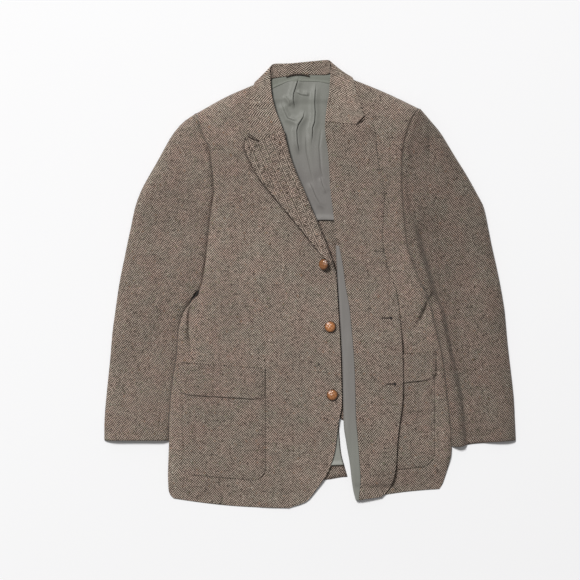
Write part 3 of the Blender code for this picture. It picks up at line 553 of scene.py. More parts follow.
LINING = 0.7               # wall of one layer of lining
LINING_FLOOR = TWEED + GAP + LINING / 2    # middle of the lining, over the surface
LINING_EARLY = 16.0        # how much earlier the collar beneath lifts it than the back
LINING_TOP = ((-100, 366), (-72, 372), (-56, 379), (-36, 386), (11, 385), (36, 381), (74, 368))
LINING_HEM_Y = 119
LINING_HEM_SLANT = 0.05
LINING_HEM_WAVE = 1.2
LINING_ROWS = 196
# Stretches of its columns, closest where its pleats are: from x to x, and how many.
LINING_COLUMNS = ((-165, -84, 12), (-80, -40, 40), (-39.5, 17, 124), (18, 56, 38),
                  (61, 160, 12))
LINING_RIPPLE = 0.25       # soft unevenness between the pleats
SLACK_SPAN = 16            # from the neck seam to where the lining is free
VENT_LINING_STEPS = (60, 40)
VENT_LINING_Y = (-266, -343)
VENT_LINING_X = -38
SAGE = (0.211, 0.212, 0.188)
MAUVE = (0.194, 0.182, 0.170)    # its other hue, where the light falls along the weft
MAUVE_SPAN = ((0.20, 0.31), (-0.22, -0.31))    # where it ends, in metres from the middle
RIB_SLOPE = 2.2            # how steep the lining's fine twill is
RIB_PITCH = 1.1
CLOUD_STRETCH = (60.0, 7.0, 1.0)    # its creases run down the cloth
SATIN_WORN = (0.93, 1.07)
SATIN_RELIEF = (0.15, 0.3, 2.2)    # shares of rib, fine grain and creases in it
HEM_CURL = 2.6             # the free hem stands off the back by this much

# Pleats of the lining: points along each, half the width of its groove, how far the swells
# beside it reach, and their height on its left and on its right.
LINING_PLEATS = (
    (((-19, 397), (-22, 389), (-27, 374), (-31, 361), (-32, 350), (-28, 332)),
     0.9, 7.0, 2.9, 5.8),
    (((13, 384), (10, 364), (9, 344), (10, 325), (9, 308), (5, 296), (4, 262)),
     1.2, 6.5, 2.6, 5.2),
    (((-28, 364), (-16, 358), (0, 357)), 1.0, 5.5, 3.6, 0.9),
    (((-55, 348), (-48, 326), (-42, 314), (-29, 309), (-17, 312)), 1.1, 6.0, 3.4, 3.0),
    (((-47, 360), (-35, 338)), 1.1, 5.0, 1.2, 3.0),
    (((-9, 331), (-13, 316), (-22, 302), (-25, 291), (-24, 270), (-19, 244)),
     1.1, 6.5, 3.0, 5.6),
    (((-2, 196), (6, 180), (12, 165), (20, 152), (31, 144)), 1.6, 6.0, 1.2, 2.6),
    (((20, 204), (25, 186), (33, 172)), 1.4, 5.0, 1.0, 1.8),
    (((-62, 320), (-50, 280), (-36, 230), (-16, 180)), 4.0, 11.0, 1.4, 1.0),
    (((22, 300), (18, 260), (21, 220), (27, 196)), 3.0, 9.0, 1.4, 1.2),
    (((-8, 290), (-6, 250), (2, 214), (8, 190)), 3.0, 9.0, 1.6, 1.2),
    (((-120, 330), (-112, 250), (-118, 160)), 6.0, 12.0, 1.5, 1.1),
    (((110, 320), (104, 240), (112, 150)), 6.0, 12.0, 1.2, 1.5),
)


def near_line(x, y, line):
    """Distance from each point to a line of straight stretches, how far along the line its
    nearest point is, from 0 to 1, and the side it lies on: 1 to the left, looking along."""
    best = np.full(np.broadcast(x, y).shape, np.inf)
    along = np.zeros_like(best)
    side = np.zeros_like(best)
    lengths = [math.dist(a, b) for a, b in zip(line, line[1:])]
    total = sum(lengths)
    passed = 0.0
    for (x0, y0), (x1, y1), length in zip(line, line[1:], lengths):
        run_x = (x1 - x0) / length
        run_y = (y1 - y0) / length
        t = np.clip((x - x0) * run_x + (y - y0) * run_y, 0.0, length)
        off_x = x - x0 - t * run_x
        off_y = y - y0 - t * run_y
        distance = np.hypot(off_x, off_y)
        closer = distance < best
        best = np.where(closer, distance, best)
        along = np.where(closer, (passed + t) / total, along)
        side = np.where(closer, np.sign(run_x * off_y - run_y * off_x), side)
        passed += length
    return best, along, side


def bell(distance, width):
    """1 in the middle, and down to about a third at the width."""
    return np.exp(-(distance / width) ** 2)


def tapered(along, start, end=None):
    """1 along a line, and down to 0 over the share of it that each of its ends takes."""
    return smoothstep(along / start) * smoothstep((1 - along) / (end or start))


def pleats(x, y, table):
    """Height of soft pleats: a groove along each line between two uneven swells."""
    total = np.zeros(np.broadcast(x, y).shape)
    for line, groove, reach, left, right in table:
        distance, along, side = near_line(x, y, line)
        swell = np.where(side > 0, left, right) * smoothstep(distance / groove)
        swell *= bell(np.maximum(distance - groove, 0.0), reach)
        total += swell * tapered(along, 0.25)
    return total


def satin_material(name, colour, tone=1.0):
    """Smooth lining cloth: a fine steep twill with a soft sheen, creased from wear. It is
    shot with a second hue, which shows between the neck and the hem."""
    finish = Finish(name)
    calc = finish.calc
    weave = finish.add("UVMap", uv_map="weave")
    across, along = (finish.add("SeparateXYZ", {0: weave}, axis) for axis in "XY")
    rib = calc("MULTIPLY_ADD", across, RIB_SLOPE, along)
    rib = calc("SINE", calc("MULTIPLY", rib, 2 * math.pi / (RIB_PITCH * MM)))
    cloud = finish.noise(finish.vector("MULTIPLY", weave, CLOUD_STRETCH), 1.0, 4.0, 0.6)
    fine = finish.noise(weave, 900.0, 1.0)
    worn = finish.ramp(cloud, 0.25, 0.75, *toned(SATIN_WORN, tone))
    worn = calc("ADD", worn, calc("MULTIPLY", calc("SUBTRACT", fine, 0.5), 0.10))
    place = finish.add("SeparateXYZ", {0: finish.add("TexCoord", output="Object")}, "Y")
    place = calc("MULTIPLY_ADD", calc("SUBTRACT", cloud, 0.5), 0.08, place)
    ends = calc("MAXIMUM", *(finish.ramp(place, *span) for span in MAUVE_SPAN))
    rib_part, fine_part, cloud_part = (calc("MULTIPLY", part, share) for part, share
                                       in zip((rib, fine, cloud), SATIN_RELIEF))
    relief = calc("ADD", calc("ADD", rib_part, fine_part), cloud_part)
    return finish.done(bump=(relief, 0.4, 0.0006), Roughness=0.48,
                       Base_Color=finish.scaled(finish.blend(ends, MAUVE, colour), worn),
                       Specular_IOR_Level=0.35, Sheen_Weight=0.20, Sheen_Roughness=0.35)


satin = satin_material("sage_satin", SAGE)
# Painted light: the vent's lining takes a copy of the satin brightened to 1.28, against the shade
# it lies in between the fronts.
vent_satin_painted_light = satin_material("vent_satin_painted_light", SAGE, 1.28)
lining_top = smooth_line(LINING_TOP)


def slack(x, y):
    """How freely the lining stands off the back: not at all along the neck seam."""
    return falls(y, lining_top(x) + 10, SLACK_SPAN)


def lining_floor(x, y):
    return LINING_FLOOR + neck_raise(x, y, LINING_EARLY)


def back_lining():
    across = np.concatenate([np.linspace(*stretch) for stretch in LINING_COLUMNS])[None, :]
    down = np.linspace(0, 1, LINING_ROWS)[:, None]
    begin = lining_top(across) - 0.9 * np.maximum(0.0, np.abs(across + 14) - 90)
    hem = LINING_HEM_Y + LINING_HEM_SLANT * across + LINING_HEM_WAVE * np.sin(across / 13.0)
    x = across + np.zeros_like(down)
    y = mix(begin, hem, down)
    loose = slack(x, y) * smoothstep((1 - down) * 30 + 0.25)
    z = lining_floor(x, y) + pleats(x, y, LINING_PLEATS) * loose
    z += LINING_RIPPLE * loose * (1 + np.sin(x / 9.0 + 1.4 * np.sin(y / 31.0)))
    z += HEM_CURL * rises(down, 0.95, 0.05)
    made = cloth("back_lining", "lining_back", (x, y, z), (x, y), satin, LINING)


def lining_of_vent():
    edge = smooth_line([(y, right_x) for _, y, right_x, _ in reversed(CENTRE_BACK)])
    t_down, across = grid(0, 1, *VENT_LINING_STEPS)
    down = mix(*VENT_LINING_Y, t_down)
    x = mix(VENT_LINING_X, edge(down) - 1.0, across)
    y = mix(down - 4, down, across)
    z = LINING_FLOOR + LINING_RIPPLE * (1 + np.sin(x / 7.0 + y / 19.0)) + 1.4 * rises(x, 10, 40)
    z += HEM_CURL * rises(t_down, 0.88, 0.12)
    made = cloth("vent_lining", "lining_vent", (x, y, z), (x, y), vent_satin_painted_light, LINING)


back_lining()
lining_of_vent()


# ================================================================ fronts
# Each front is one panel of tweed from armhole to front edge. The right one, which carries
# the buttons, has its lapel rolled back; the left one is folded back from neck to hem.

HEM_ROW = 25               # sections where the hem, the underarm and the lapel's notch are
UNDERARM_ROW = 13
GORGE_ROW = 6
FRONT_STEPS = {"right": (108, 30), "left": (64, 40)}    # columns up to the fold, and past it
FRONT_CROWDING = 1.3       # its columns stand closer beside the armhole
FOLD_RADIUS = 2.6          # inner bend of a turned front, at the middle of the cloth
FACING_LIFT = TWEED + GAP  # from the middle of a front to the middle of its facing
NECK_BOW = 4.0             # how far the middle of a shoulder seam bows up
HEM_BOW = {"right": 4.5, "left": -3.5}    # how far the middle of a front's hem bows down
SEAM_GAP = 0.2             # half the space between panels sewn edge to edge
EDGE_HEIGHT = 1.0          # middle of the upper cloth where it turns under
EDGE_ROUND = 24.0          # how far in from its edge the upper cloth rounds up
SIDE_INSET = 0.5           # how far a rounded side stays back from the line it shares
SIDE_TOUCH = {"right": 9.2, "left": 3.0}    # height at which a sleeve leans on the body's side
TOUCH_START = (0.10, 0.14)    # where along the side it begins to, and over what share
TOUCH_END = (0.70, 0.12)   # where it has ended, and over what share
TOUCH_REACH = (44, 30)     # how far from the side it has ended, and over what width
UNDERARM_RISE = 9.0        # the cloth stands up round the gap at the right underarm
UNDERARM_REACH = 15.0
SHOULDER_RISE = 11.0       # height that the padded shoulder adds
SHOULDER_SPREAD = 72.0
ROLL_FALL = 85.0           # how far from its fold a front starts to come down
HEM_FALL = 55.0            # how far from its hem a front starts to come down
HEM_HEIGHT = 0.95          # middle of the cloth at the hem, over the floor
DROP_INSET = 9             # how far in from an edge the cloth can drop in full
RIPPLE = 0.28              # small unevenness everywhere
UNDERARM_GAP = 4.8         # how much wider the sleeve and body part at the right underarm
UNDERARM_GAP_ROWS = 0.35
SEAM_DIP = 3.3             # how far the armhole seam draws the cloth in
SEAM_DIP_WIDTH = 2.8
LAPEL_DENT = 3.0           # depth of the dent in a front along its lapel's free edge
LAPEL_DENT_WIDTH = 2.8
LAPEL_DENT_PLACE = -0.8    # from that edge, towards the roll
LAPEL_END = {"right": 13.5, "left": 15.4}    # the section where a lapel's edge ends
FACING_SINK = 3.5          # how far the turned-back left front sinks into the one below
SINK_REACH = (70, 45)      # how far in from its edge that has ended, and over what width
ROPE_RISE = 1.5            # the sleeve head stands proud of the shoulder beside the seam
ROPE_PLACE = 8             # how far from the seam, and how wide
ROPE_WIDTH = 6
ROPE_END = (0.75, 0.4)     # where along the armhole it has ended, and over what share
GORGE = {"right": (0.64, 16.0), "left": (0.73, 11.0)}    # place and depth of the notch
LAYER_SPACE = TWEED + 0.5    # between a turned front and the one below, away from its fold
POCKET_SPACE = 3 * TWEED + 2.4    # and where the left pocket lies between the two
POCKET_FROM = (62, 12)     # x where it begins, and over what width,
POCKET_BELOW = (-78, 34)   # y where it has ended at the top,
POCKET_ABOVE = (-386, 10)    # and where it begins at the bottom

# Height of the middle of the upper cloth: over the body, and at the fold of each front.
CROWN = smooth_line(((-430, 9.0), (-300, 10.5), (-150, 11.5), (0, 13.0), (180, 15.5),
                     (300, 16.0), (430, 12.0)))
ROLL_HEIGHT = {
    "right": smooth_line(((-425, 2.9), (-402, 2.9), (-388, 4.0), (-365, 5.8), (-330, 6.4),
                          (-40, 6.4), (30, 8.5), (100, 10.6), (250, 11.0), (330, 9.5),
                          (365, 7.5), (388, 5.0))),
    "left": smooth_line(((-425, 2.6), (-395, 2.6), (-370, 4.6), (-340, 5.6), (60, 6.2),
                         (330, 7.5), (370, 7.0), (400, 5.0))),
}
SHOULDER_POINTS = {"right": (-178, 288), "left": (172, 296)}

# Largest folds of the upper cloth: x0, y0, x1, y1 of a line, its width and its height.
FOLDS = {
    "right": (
        (-184, 185, -202, 15, 10, -2.4),
        (-227, -36, -231, -112, 6, -4.0),
        (-300, 60, -268, -190, 22, 2.4),
        (-250, -10, -300, -120, 13, -2.4),
        (-318, 120, -350, -40, 14, -1.8),
        (-150, 120, -170, -60, 24, 1.6),
    ),
    "left": (
        (200, 96, 234, -46, 9, 4.6),
        (241, -46, 261, -150, 8, 5.2),
        (261, -150, 282, -310, 8, 5.2),
        (223, 272, 222, 240, 8, -2.8),
        (186, 200, 194, 110, 9, -3.0),
        (145, 176, 150, 112, 9, -2.8),
        (330, 60, 318, -180, 24, 2.0),
    ),
}
# Finer creases between them: points along each, its width and its height.
CREASES = {
    "right": (
        (((-213, -8), (-217, -24), (-214, -40)), 4.0, -2.4),
        (((-230, -44), (-231, -95), (-222, -128)), 5.0, -1.6),
        (((-286, 236), (-300, 190), (-308, 150)), 7.0, 0.9),
        (((-232, 246), (-246, 190), (-244, 140)), 8.0, -1.0),
        (((-262, 60), (-296, 28), (-322, 10)), 6.0, -0.9),
        (((-352, -20), (-326, -44), (-296, -56)), 6.0, 0.9),
        (((-284, -150), (-320, -172), (-352, -178)), 7.0, -0.8),
        (((-330, -210), (-318, -262), (-322, -296)), 6.0, 0.9),
        (((-160, 240), (-158, 190), (-166, 150)), 8.0, -0.9),
        (((-120, 60), (-98, 0), (-92, -80)), 12.0, 1.0),
        (((-60, -20), (-50, -90), (-46, -170)), 9.0, -0.8),
        (((-176, -20), (-188, -70), (-186, -120)), 8.0, 1.0),
        (((-70, -240), (-60, -300), (-64, -370)), 10.0, 0.8),
    ),
    "left": (
        (((222, -64), (210, -84), (206, -110)), 7.0, 1.2),
        (((142, 166), (141, 120), (144, 60), (154, -20)), 6.0, -1.2),
        (((186, 230), (184, 190), (190, 150), (196, 112)), 5.0, -1.6),
        (((206, 190), (204, 130), (212, 84)), 6.0, 1.6),
        (((240, 246), (262, 190), (274, 120)), 9.0, -1.0),
        (((300, 150), (312, 90), (306, 20)), 9.0, 1.0),
        (((334, -20), (300, -52), (276, -62)), 6.0, -1.0),
        (((352, -120), (322, -146), (298, -150)), 7.0, 0.9),
        (((344, -210), (334, -256), (338, -296)), 7.0, -0.9),
        (((176, 60), (186, 10), (196, -30)), 9.0, 1.2),
    ),
}
# Where the cloth drops on one side of a line: points along it, depth on the line's left, over
# what width it drops, how far off it rises again, and what share of the line each end takes.
DROPS = {
    "right": (
        (((-214, 302), (-209, 292), (-202, 282)), 2.4, 3.0, 8.0, 0.3),
        (((-229, -30), (-232, -62), (-232, -90), (-227, -132)), 8.0, 6.0, 11.0, 0.25),
        (((-190, 112), (-193, 92), (-196, 60), (-203, 25), (-213, 4)), 3.0, 3.5, 9.0, 0.3),
    ),
    "left": (
        (((218, 296), (223, 272), (225, 250), (221, 228)), 4.5, 8.0, 13.0, 0.3),
        (((116, 284), (124, 262), (130, 235), (134, 203)), 2.8, 5.0, 12.0, 0.3),
        (((236, -6), (220, -36), (209, -60), (194, -90)), 7.5, 4.0, 22.0, 0.3),
        (((190, 150), (202, 100), (214, 54), (236, -10), (253, -54), (266, -118), (277, -164),
          (287, -212), (297, -310), (303, -420)), 14.5, 15.0, 46.0, 0.13),
    ),
}


def notch_dip(t, place, depth):
    """How far an edge dips to its notch, which lies at "place", below a straight line."""
    return depth * np.where(t < place, t / place, (1 - t) / (1 - place))


class UpperCloth(Outline):
    """One half of the jacket's upper cloth: its outline and its height."""

    def __init__(self, name):
        super().__init__(name)
        rows = np.arange(0, HEM_ROW + 0.25, 0.5)
        outer = self.point("outer", rows[rows <= CUFF_ROW])
        side = self.point("seam", rows[rows >= UNDERARM_ROW])
        armhole = self.point("seam", rows[rows <= UNDERARM_ROW])
        shoulder = self.across(0, np.linspace(0, 1, 9))
        self.edges = [list(zip(*line)) for line in (shoulder, outer, side)]
        self.armhole = list(zip(*armhole))
        self.roll = list(zip(*self.fold_point(rows)))
        self.hem = list(zip(*self.across(HEM_ROW, np.linspace(0, 1, 5))))
        beside = np.arange(GORGE_ROW + 0.4, LAPEL_END[name], 0.5)
        self.lapel = list(zip(*self.point("edge", beside)))

    def fold_point(self, row):
        """Where the front starts to turn, so that its facing's roll ends on the roll line."""
        x, y = self.point("roll", row)
        return x - self.sign * (FOLD_RADIUS + FACING_LIFT + TWEED / 2), y

    def across(self, row, t):
        """A point of the front on the section "row", t of the way from seam to fold."""
        seam_x, seam_y = self.point("seam", row)
        fold_x, fold_y = self.fold_point(row)
        bow = (NECK_BOW * np.maximum(0.0, 1 - row)
               - HEM_BOW[self.name] * np.maximum(0.0, row + 1 - HEM_ROW))
        return mix(seam_x, fold_x, t), mix(seam_y, fold_y, t) + bow * np.sin(math.pi * t)

    def folds(self, x, y):
        total = np.zeros(x.shape)
        for x0, y0, x1, y1, width, height in FOLDS[self.name]:
            run_x = x1 - x0
            run_y = y1 - y0
            length = math.hypot(run_x, run_y)
            along = ((x - x0) * run_x + (y - y0) * run_y) / length ** 2
            aside = np.abs((x - x0) * run_y - (y - y0) * run_x) / length
            taper = rises(along, -0.25, 0.5) * falls(along, 1.25, 0.5)
            total += height * taper * bell(aside, width)
        for line, width, height in CREASES[self.name]:
            distance, along, _ = near_line(x, y, line)
            total += height * tapered(along, 0.3) * bell(distance, width)
        ripple = np.sin(x / 17 + 1.6 * np.sin(y / 43)) * np.sin(y / 29 + np.sin(x / 37))
        return total + RIPPLE * ripple

    def drops(self, x, y):
        total = np.zeros(x.shape)
        for line, depth, width, reach, end in DROPS[self.name]:
            distance, along, side = near_line(x, y, line)
            past = side * distance
            fading = bell(np.maximum(past, 0.0), reach)
            total += depth * tapered(along, end) * smoothstep(past / width + 0.5) * fading
        return total

    def pressed(self, x, y, turned):
        """How far a lapel, or the turned-back left front, presses the front under it down.
        Cloth that is itself turned back doesn't follow the step beneath its free edge."""
        distance, along, side = near_line(x, y, self.lapel)
        inside = side * distance * self.sign
        if self.name == "right":
            dent = bell(inside - LAPEL_DENT_PLACE, LAPEL_DENT_WIDTH)
            return 0.0 if turned else LAPEL_DENT * tapered(along, 0.04, 0.08) * dent
        step = 1.0 if turned else smoothstep(inside / 5 + 0.4)
        return FACING_SINK * tapered(along, 0.1, 0.2) * step * falls(inside, *SINK_REACH)

    def height(self, x, y, turned=False):
        """Height of the middle of the upper cloth over each point, or of the surface that
        its turned-back part follows."""
        edge = np.minimum.reduce([near_line(x, y, line)[0] for line in self.edges])
        rise = np.sqrt(1 - (1 - np.minimum(edge / EDGE_ROUND, 1.0)) ** 2)
        to_side, along, _ = near_line(x, y, self.edges[-1])
        touching = rises(along, *TOUCH_START) * falls(along, *TOUCH_END)
        low = (EDGE_HEIGHT + neck_raise(x, y)
               + SIDE_TOUCH[self.name] * touching * falls(to_side, *TOUCH_REACH))
        if self.name == "right":
            to_gap = np.hypot(x - self.armhole[-1][0], y - self.armhole[-1][1])
            low = low + UNDERARM_RISE * bell(to_gap, UNDERARM_REACH)
        place_x, place_y = SHOULDER_POINTS[self.name]
        to_shoulder = np.hypot(x - place_x, y - place_y)
        crown = CROWN(y) + SHOULDER_RISE * bell(to_shoulder, SHOULDER_SPREAD)
        z = low + (crown - low + self.folds(x, y)) * rise
        least = EDGE_HEIGHT + 0.5 + neck_raise(x, y)
        dropped = z - self.drops(x, y) * smoothstep(edge / DROP_INSET)
        z = np.maximum(dropped, np.minimum(z, least))
        seam, along, side = near_line(x, y, self.armhole)
        dip = SEAM_DIP * bell(seam, SEAM_DIP_WIDTH)
        rope = ROPE_RISE * bell(seam - ROPE_PLACE, ROPE_WIDTH) * falls(along, *ROPE_END)
        z += (rope * (side * self.sign < 0) - dip) * rise
        to_roll = near_line(x, y, self.roll)[0]
        z = mix(ROLL_HEIGHT[self.name](y), z, smoothstep(to_roll / ROLL_FALL))
        to_hem = near_line(x, y, self.hem)[0]
        hem_z = HEM_HEIGHT + FACING_LIFT * (1 - rises(to_roll, 30, 30))
        return mix(hem_z, z - self.pressed(x, y, turned), smoothstep(to_hem / HEM_FALL))

    def gorge_dip(self, t, rows):
        """How far the top edge of a lapel dips below a straight line."""
        return notch_dip(t, *GORGE[self.name]) * np.clip(1 - (rows - GORGE_ROW), 0.0, 1.0)

    def layer_space(self, x, y, along):
        """Space between the middles of a turned front and of the front that it lies on."""
        space = mix(2 * FOLD_RADIUS, LAYER_SPACE, smoothstep(along / 60))
        if self.name == "left":
            pocket = rises(x, *POCKET_FROM) * falls(y, *POCKET_BELOW) * rises(y, *POCKET_ABOVE)
            space = mix(space, POCKET_SPACE, pocket)
        return space

    def bend_of(self, rows):
        """For each section: which way its fold turns, how far, and how far it reaches."""
        fold_x, fold_y = self.fold_point(rows)
        edge_x, edge_y = self.point("edge", rows)
        turn = np.radians(self.read["turn"](rows))
        reach = np.hypot(edge_x - fold_x, edge_y - fold_y)
        folded = rises(turn, math.radians(60), math.radians(30))
        out_x = mix(self.sign, (fold_x - edge_x) / reach, folded)
        out_y = mix(0.0, (fold_y - edge_y) / reach, folded)
        size = np.hypot(out_x, out_y)
        flat = FOLD_RADIUS + FACING_LIFT + TWEED / 2
        return out_x / size, out_y / size, turn, mix(flat, reach, folded)

    def turned(self, rows, lift, tail, steps, bend_steps=9):
        """Sections of a front, or of what lines it, near its fold: "tail" points before
        the fold, the bend, and "steps" points out to the free edge. Gives x, y, z and how
        far each point is along its section from the fold."""
        fold_x, fold_y = self.fold_point(rows)
        out_x, out_y, turn, reach = self.bend_of(rows)
        back = np.array(tail, float)[None, :]
        tail_x = fold_x - out_x * back
        tail_y = fold_y - out_y * back
        tail_z = self.height(tail_x, tail_y) - lift
        radius = FOLD_RADIUS + lift
        angle = turn * np.linspace(0, 1, bend_steps)[None, :]
        bend_x = fold_x + out_x * radius * np.sin(angle)
        bend_y = fold_y + out_y * radius * np.sin(angle)
        bend_z = self.height(fold_x, fold_y) + FOLD_RADIUS - radius * np.cos(angle)
        t = np.linspace(0.02, 1.0, steps)[None, :]
        along = reach * t
        x = bend_x[:, -1:] + out_x * np.cos(turn) * along
        y = bend_y[:, -1:] + out_y * np.cos(turn) * along - self.gorge_dip(t, rows)
        straight = bend_z[:, -1:] + np.sin(turn) * along
        laid = self.height(x, y, True) + lift + self.layer_space(x, y, along)
        z = mix(straight, laid, smoothstep(-np.cos(turn)))
        around = radius * angle
        run = np.concatenate([-back + 0 * rows, around, around[:, -1:] + along], 1)
        return (np.concatenate([tail_x, bend_x, x], 1), np.concatenate([tail_y, bend_y, y], 1),
                np.concatenate([tail_z, bend_z, z], 1), run)


HALVES = {"right": UpperCloth("right"), "left": UpperCloth("left")}
# Painted shade: the left front and its facing take a copy of the tweed darkened to 0.91, for the
# dimmer light on that side of the jacket.
front_tweed = {"right": tweed_material("herringbone_tweed"),
               "left": tweed_material("shaded_left_front_tweed", 0.91)}
FRONT_ROWS = np.linspace(0, HEM_ROW, 9 * HEM_ROW + 1)[:, None]


def side_inset(name, rows):
    """How far a front or a top sleeve stays back from the line that the two share."""
    parted = UNDERARM_GAP if name == "right" else 0.0
    return (mix(SEAM_GAP, SIDE_INSET, rises(rows, UNDERARM_ROW - 1.5, 1.5))
            + parted * bell(rows - UNDERARM_ROW, UNDERARM_GAP_ROWS))


def front_panel(name):
    half = HALVES[name]
    rows = FRONT_ROWS
    columns, steps = FRONT_STEPS[name]
    inset = side_inset(name, rows)
    seam_x, _ = half.point("seam", rows)
    fold_x, _ = half.fold_point(rows)
    t = (np.arange(columns) / columns)[None, :] ** FRONT_CROWDING
    t = mix(inset / np.abs(fold_x - seam_x), 1.0, t)
    x, y = half.across(rows, t)
    z = half.height(x, y)
    bend_x, bend_y, bend_z, run = half.turned(rows, 0.0, (), steps)
    above = rows[:, 0] < GORGE_ROW
    bend_y[above, 0] = half.across(rows, 1.0)[1][above, 0]
    place = [np.concatenate(parts, 1) for parts in ((x, bend_x), (y, bend_y), (z, bend_z))]
    threads = np.concatenate([x, fold_x + half.sign * run], 1)
    counts = np.where(above, columns + 1, place[0].shape[1])
    node = "front_" + name
    return cloth(node + "_cloth", node, place, (threads, place[1]), front_tweed[name],
                 counts=counts)


front_right = front_panel("right")
front_left = front_panel("left")


# ================================================================ facings
# Behind each front edge lies a facing of the same tweed. The right one shows as the lapel;
# the left one shows from notch to hem because that front is folded back.

# x of the left facing's inner edge, from the hem up.
FACING_INNER = smooth_line(((-405, 93), (-374, 96), (-335, 94), (-296, 91), (-246, 87),
                            (-197, 86), (-146, 84), (-95, 80), (-44, 75), (-6, 68),
                            (32, 63), (68, 56), (84, 52)))
BREAK_SPACE = 0.5          # space for the facing where the lapel stops turning
STRIP_ROW = 12.8           # from here down the lining shows beside the left facing
FACING_LEAST = 3           # least distance from the fold to that edge
RIGHT_TAIL = (25, 18, 12, 8, 4)    # columns of what lines a front, inside its fold
LEFT_TAIL = (14, 10, 5)
RIGHT_FACING_STEPS = 44    # and how many from the fold to the free edge
LEFT_FACING_COLUMNS = 56


def turned_left(rows, lift, x):
    """What lines the turned-back left front, straight above x on each section."""
    half = HALVES["left"]
    fold_x, fold_y = half.fold_point(rows)
    edge_x, edge_y = half.point("edge", rows)
    t = (x - fold_x) / (edge_x - fold_x)
    y = mix(fold_y, edge_y, t) - half.gorge_dip(t, rows)
    return y, half.height(x, y, True) + lift + half.layer_space(x, y, x - fold_x)


def right_facing():
    half = HALVES["right"]
    rows = FRONT_ROWS[FRONT_ROWS[:, 0] >= GORGE_ROW]
    lift = FACING_LIFT + BREAK_SPACE * smoothstep(2 - np.abs(rows - UNDERARM_ROW) / 2)
    x, y, z, _ = half.turned(rows, lift, RIGHT_TAIL, RIGHT_FACING_STEPS)
    made = cloth("facing_right_cloth", "facing_right", (x, y, z), (x, y), lapel_tweed)


def left_facing():
    half = HALVES["left"]
    rows = FRONT_ROWS[FRONT_ROWS[:, 0] >= GORGE_ROW]
    fold_x, fold_y = half.fold_point(rows)
    edge_x, _ = half.point("edge", rows)
    lined = rows >= STRIP_ROW
    least = fold_x + FACING_LEAST
    inner_x = np.where(lined, np.maximum(FACING_INNER(fold_y), least), least)
    x = mix(edge_x, inner_x, np.linspace(0, 1, LEFT_FACING_COLUMNS)[None, :])
    y, z = turned_left(rows, FACING_LIFT, x)
    bend = half.turned(rows, FACING_LIFT, LEFT_TAIL, 2)
    place = [np.concatenate([flat, round_fold[:, :-2][:, ::-1]], 1)
             for flat, round_fold in zip((x, y, z), bend)]
    counts = np.where(lined[:, 0], x.shape[1], place[0].shape[1])
    made = cloth("facing_left_cloth", "facing_left", place, (place[0] - fold_x, place[1]),
                 front_tweed["left"], counts=counts)


lapel_tweed = tweed_material("lapel_tweed", 1.14, math.radians(-20), 0.8)
right_facing()
left_facing()


# ================================================================ lining of the left front
# Satin lining meets the inner edge of the left facing and goes round the fold to the
# inside of the jacket, so a long strip of it shows between the front edges.

LINING_LIFT = (TWEED + LINING) / 2 + GAP    # from a front's middle to its lining's
STRIP_COLUMNS = 18


def front_lining():
    half = HALVES["left"]
    rows = FRONT_ROWS[FRONT_ROWS[:, 0] > STRIP_ROW]
    fold_x, fold_y = half.fold_point(rows)
    inner_x = np.maximum(FACING_INNER(fold_y), fold_x + FACING_LEAST) - 2 * SEAM_GAP
    bend = half.turned(rows, LINING_LIFT, LEFT_TAIL, 2)
    flat_x = mix(fold_x, inner_x, np.linspace(0.05, 1, STRIP_COLUMNS)[None, :])
    flat_y, flat_z = turned_left(rows, LINING_LIFT, flat_x)
    place = [np.concatenate([round_fold[:, :-2], flat], 1)
             for round_fold, flat in zip(bend, (flat_x, flat_y, flat_z))]
    made = cloth("front_lining", "lining_front_left", place, place[:2], satin, LINING)


front_lining()


# ================================================================ top sleeves
# The wider, upper half of each two-piece sleeve, eased into the armhole over a padded
# shoulder. Its edges turn down to meet the under sleeve, and soft folds run to the cuff.

CUFF_DIP = 4.0             # how far the left cuff hangs lower near the body,
CUFF_DIP_PLACE = 0.9       # as a share of its width from the outer edge
CUFF_DIP_WIDTH = 0.13
TOP_SLEEVE_STEPS = (201, 73)


def top_sleeve(name):
    half = HALVES[name]
    rows, across = grid(0, CUFF_ROW, *TOP_SLEEVE_STEPS)
    inset = side_inset(name, rows)
    outer_x, outer_y = half.point("outer", rows)
    seam_x, seam_y = half.point("seam", rows)
    width = np.abs(seam_x - outer_x)
    t = (1 - np.cos(math.pi * across)) / 2 * (1 - inset / width)
    x = mix(outer_x, seam_x, t)
    y = mix(outer_y, seam_y, t)
    if name == "left":
        y = y - CUFF_DIP * bell(t - CUFF_DIP_PLACE, CUFF_DIP_WIDTH) * rises(rows, 18, 2)
    z = half.height(x, y)
    node = "sleeve_" + name + "_top"
    made = cloth(node + "_cloth", node, (x, y, z), leaned(x, y, SLEEVE_LEAN[name]),
                 shaded_sleeve_tweed[name])


for side in ("right", "left"):
    top_sleeve(side)


# ================================================================ collar
# A turned-down collar in two parts: the leaf, which shows on the chest and lies beneath
# the back neck, and the stand inside the neck, with a satin band sewn along its lower edge.

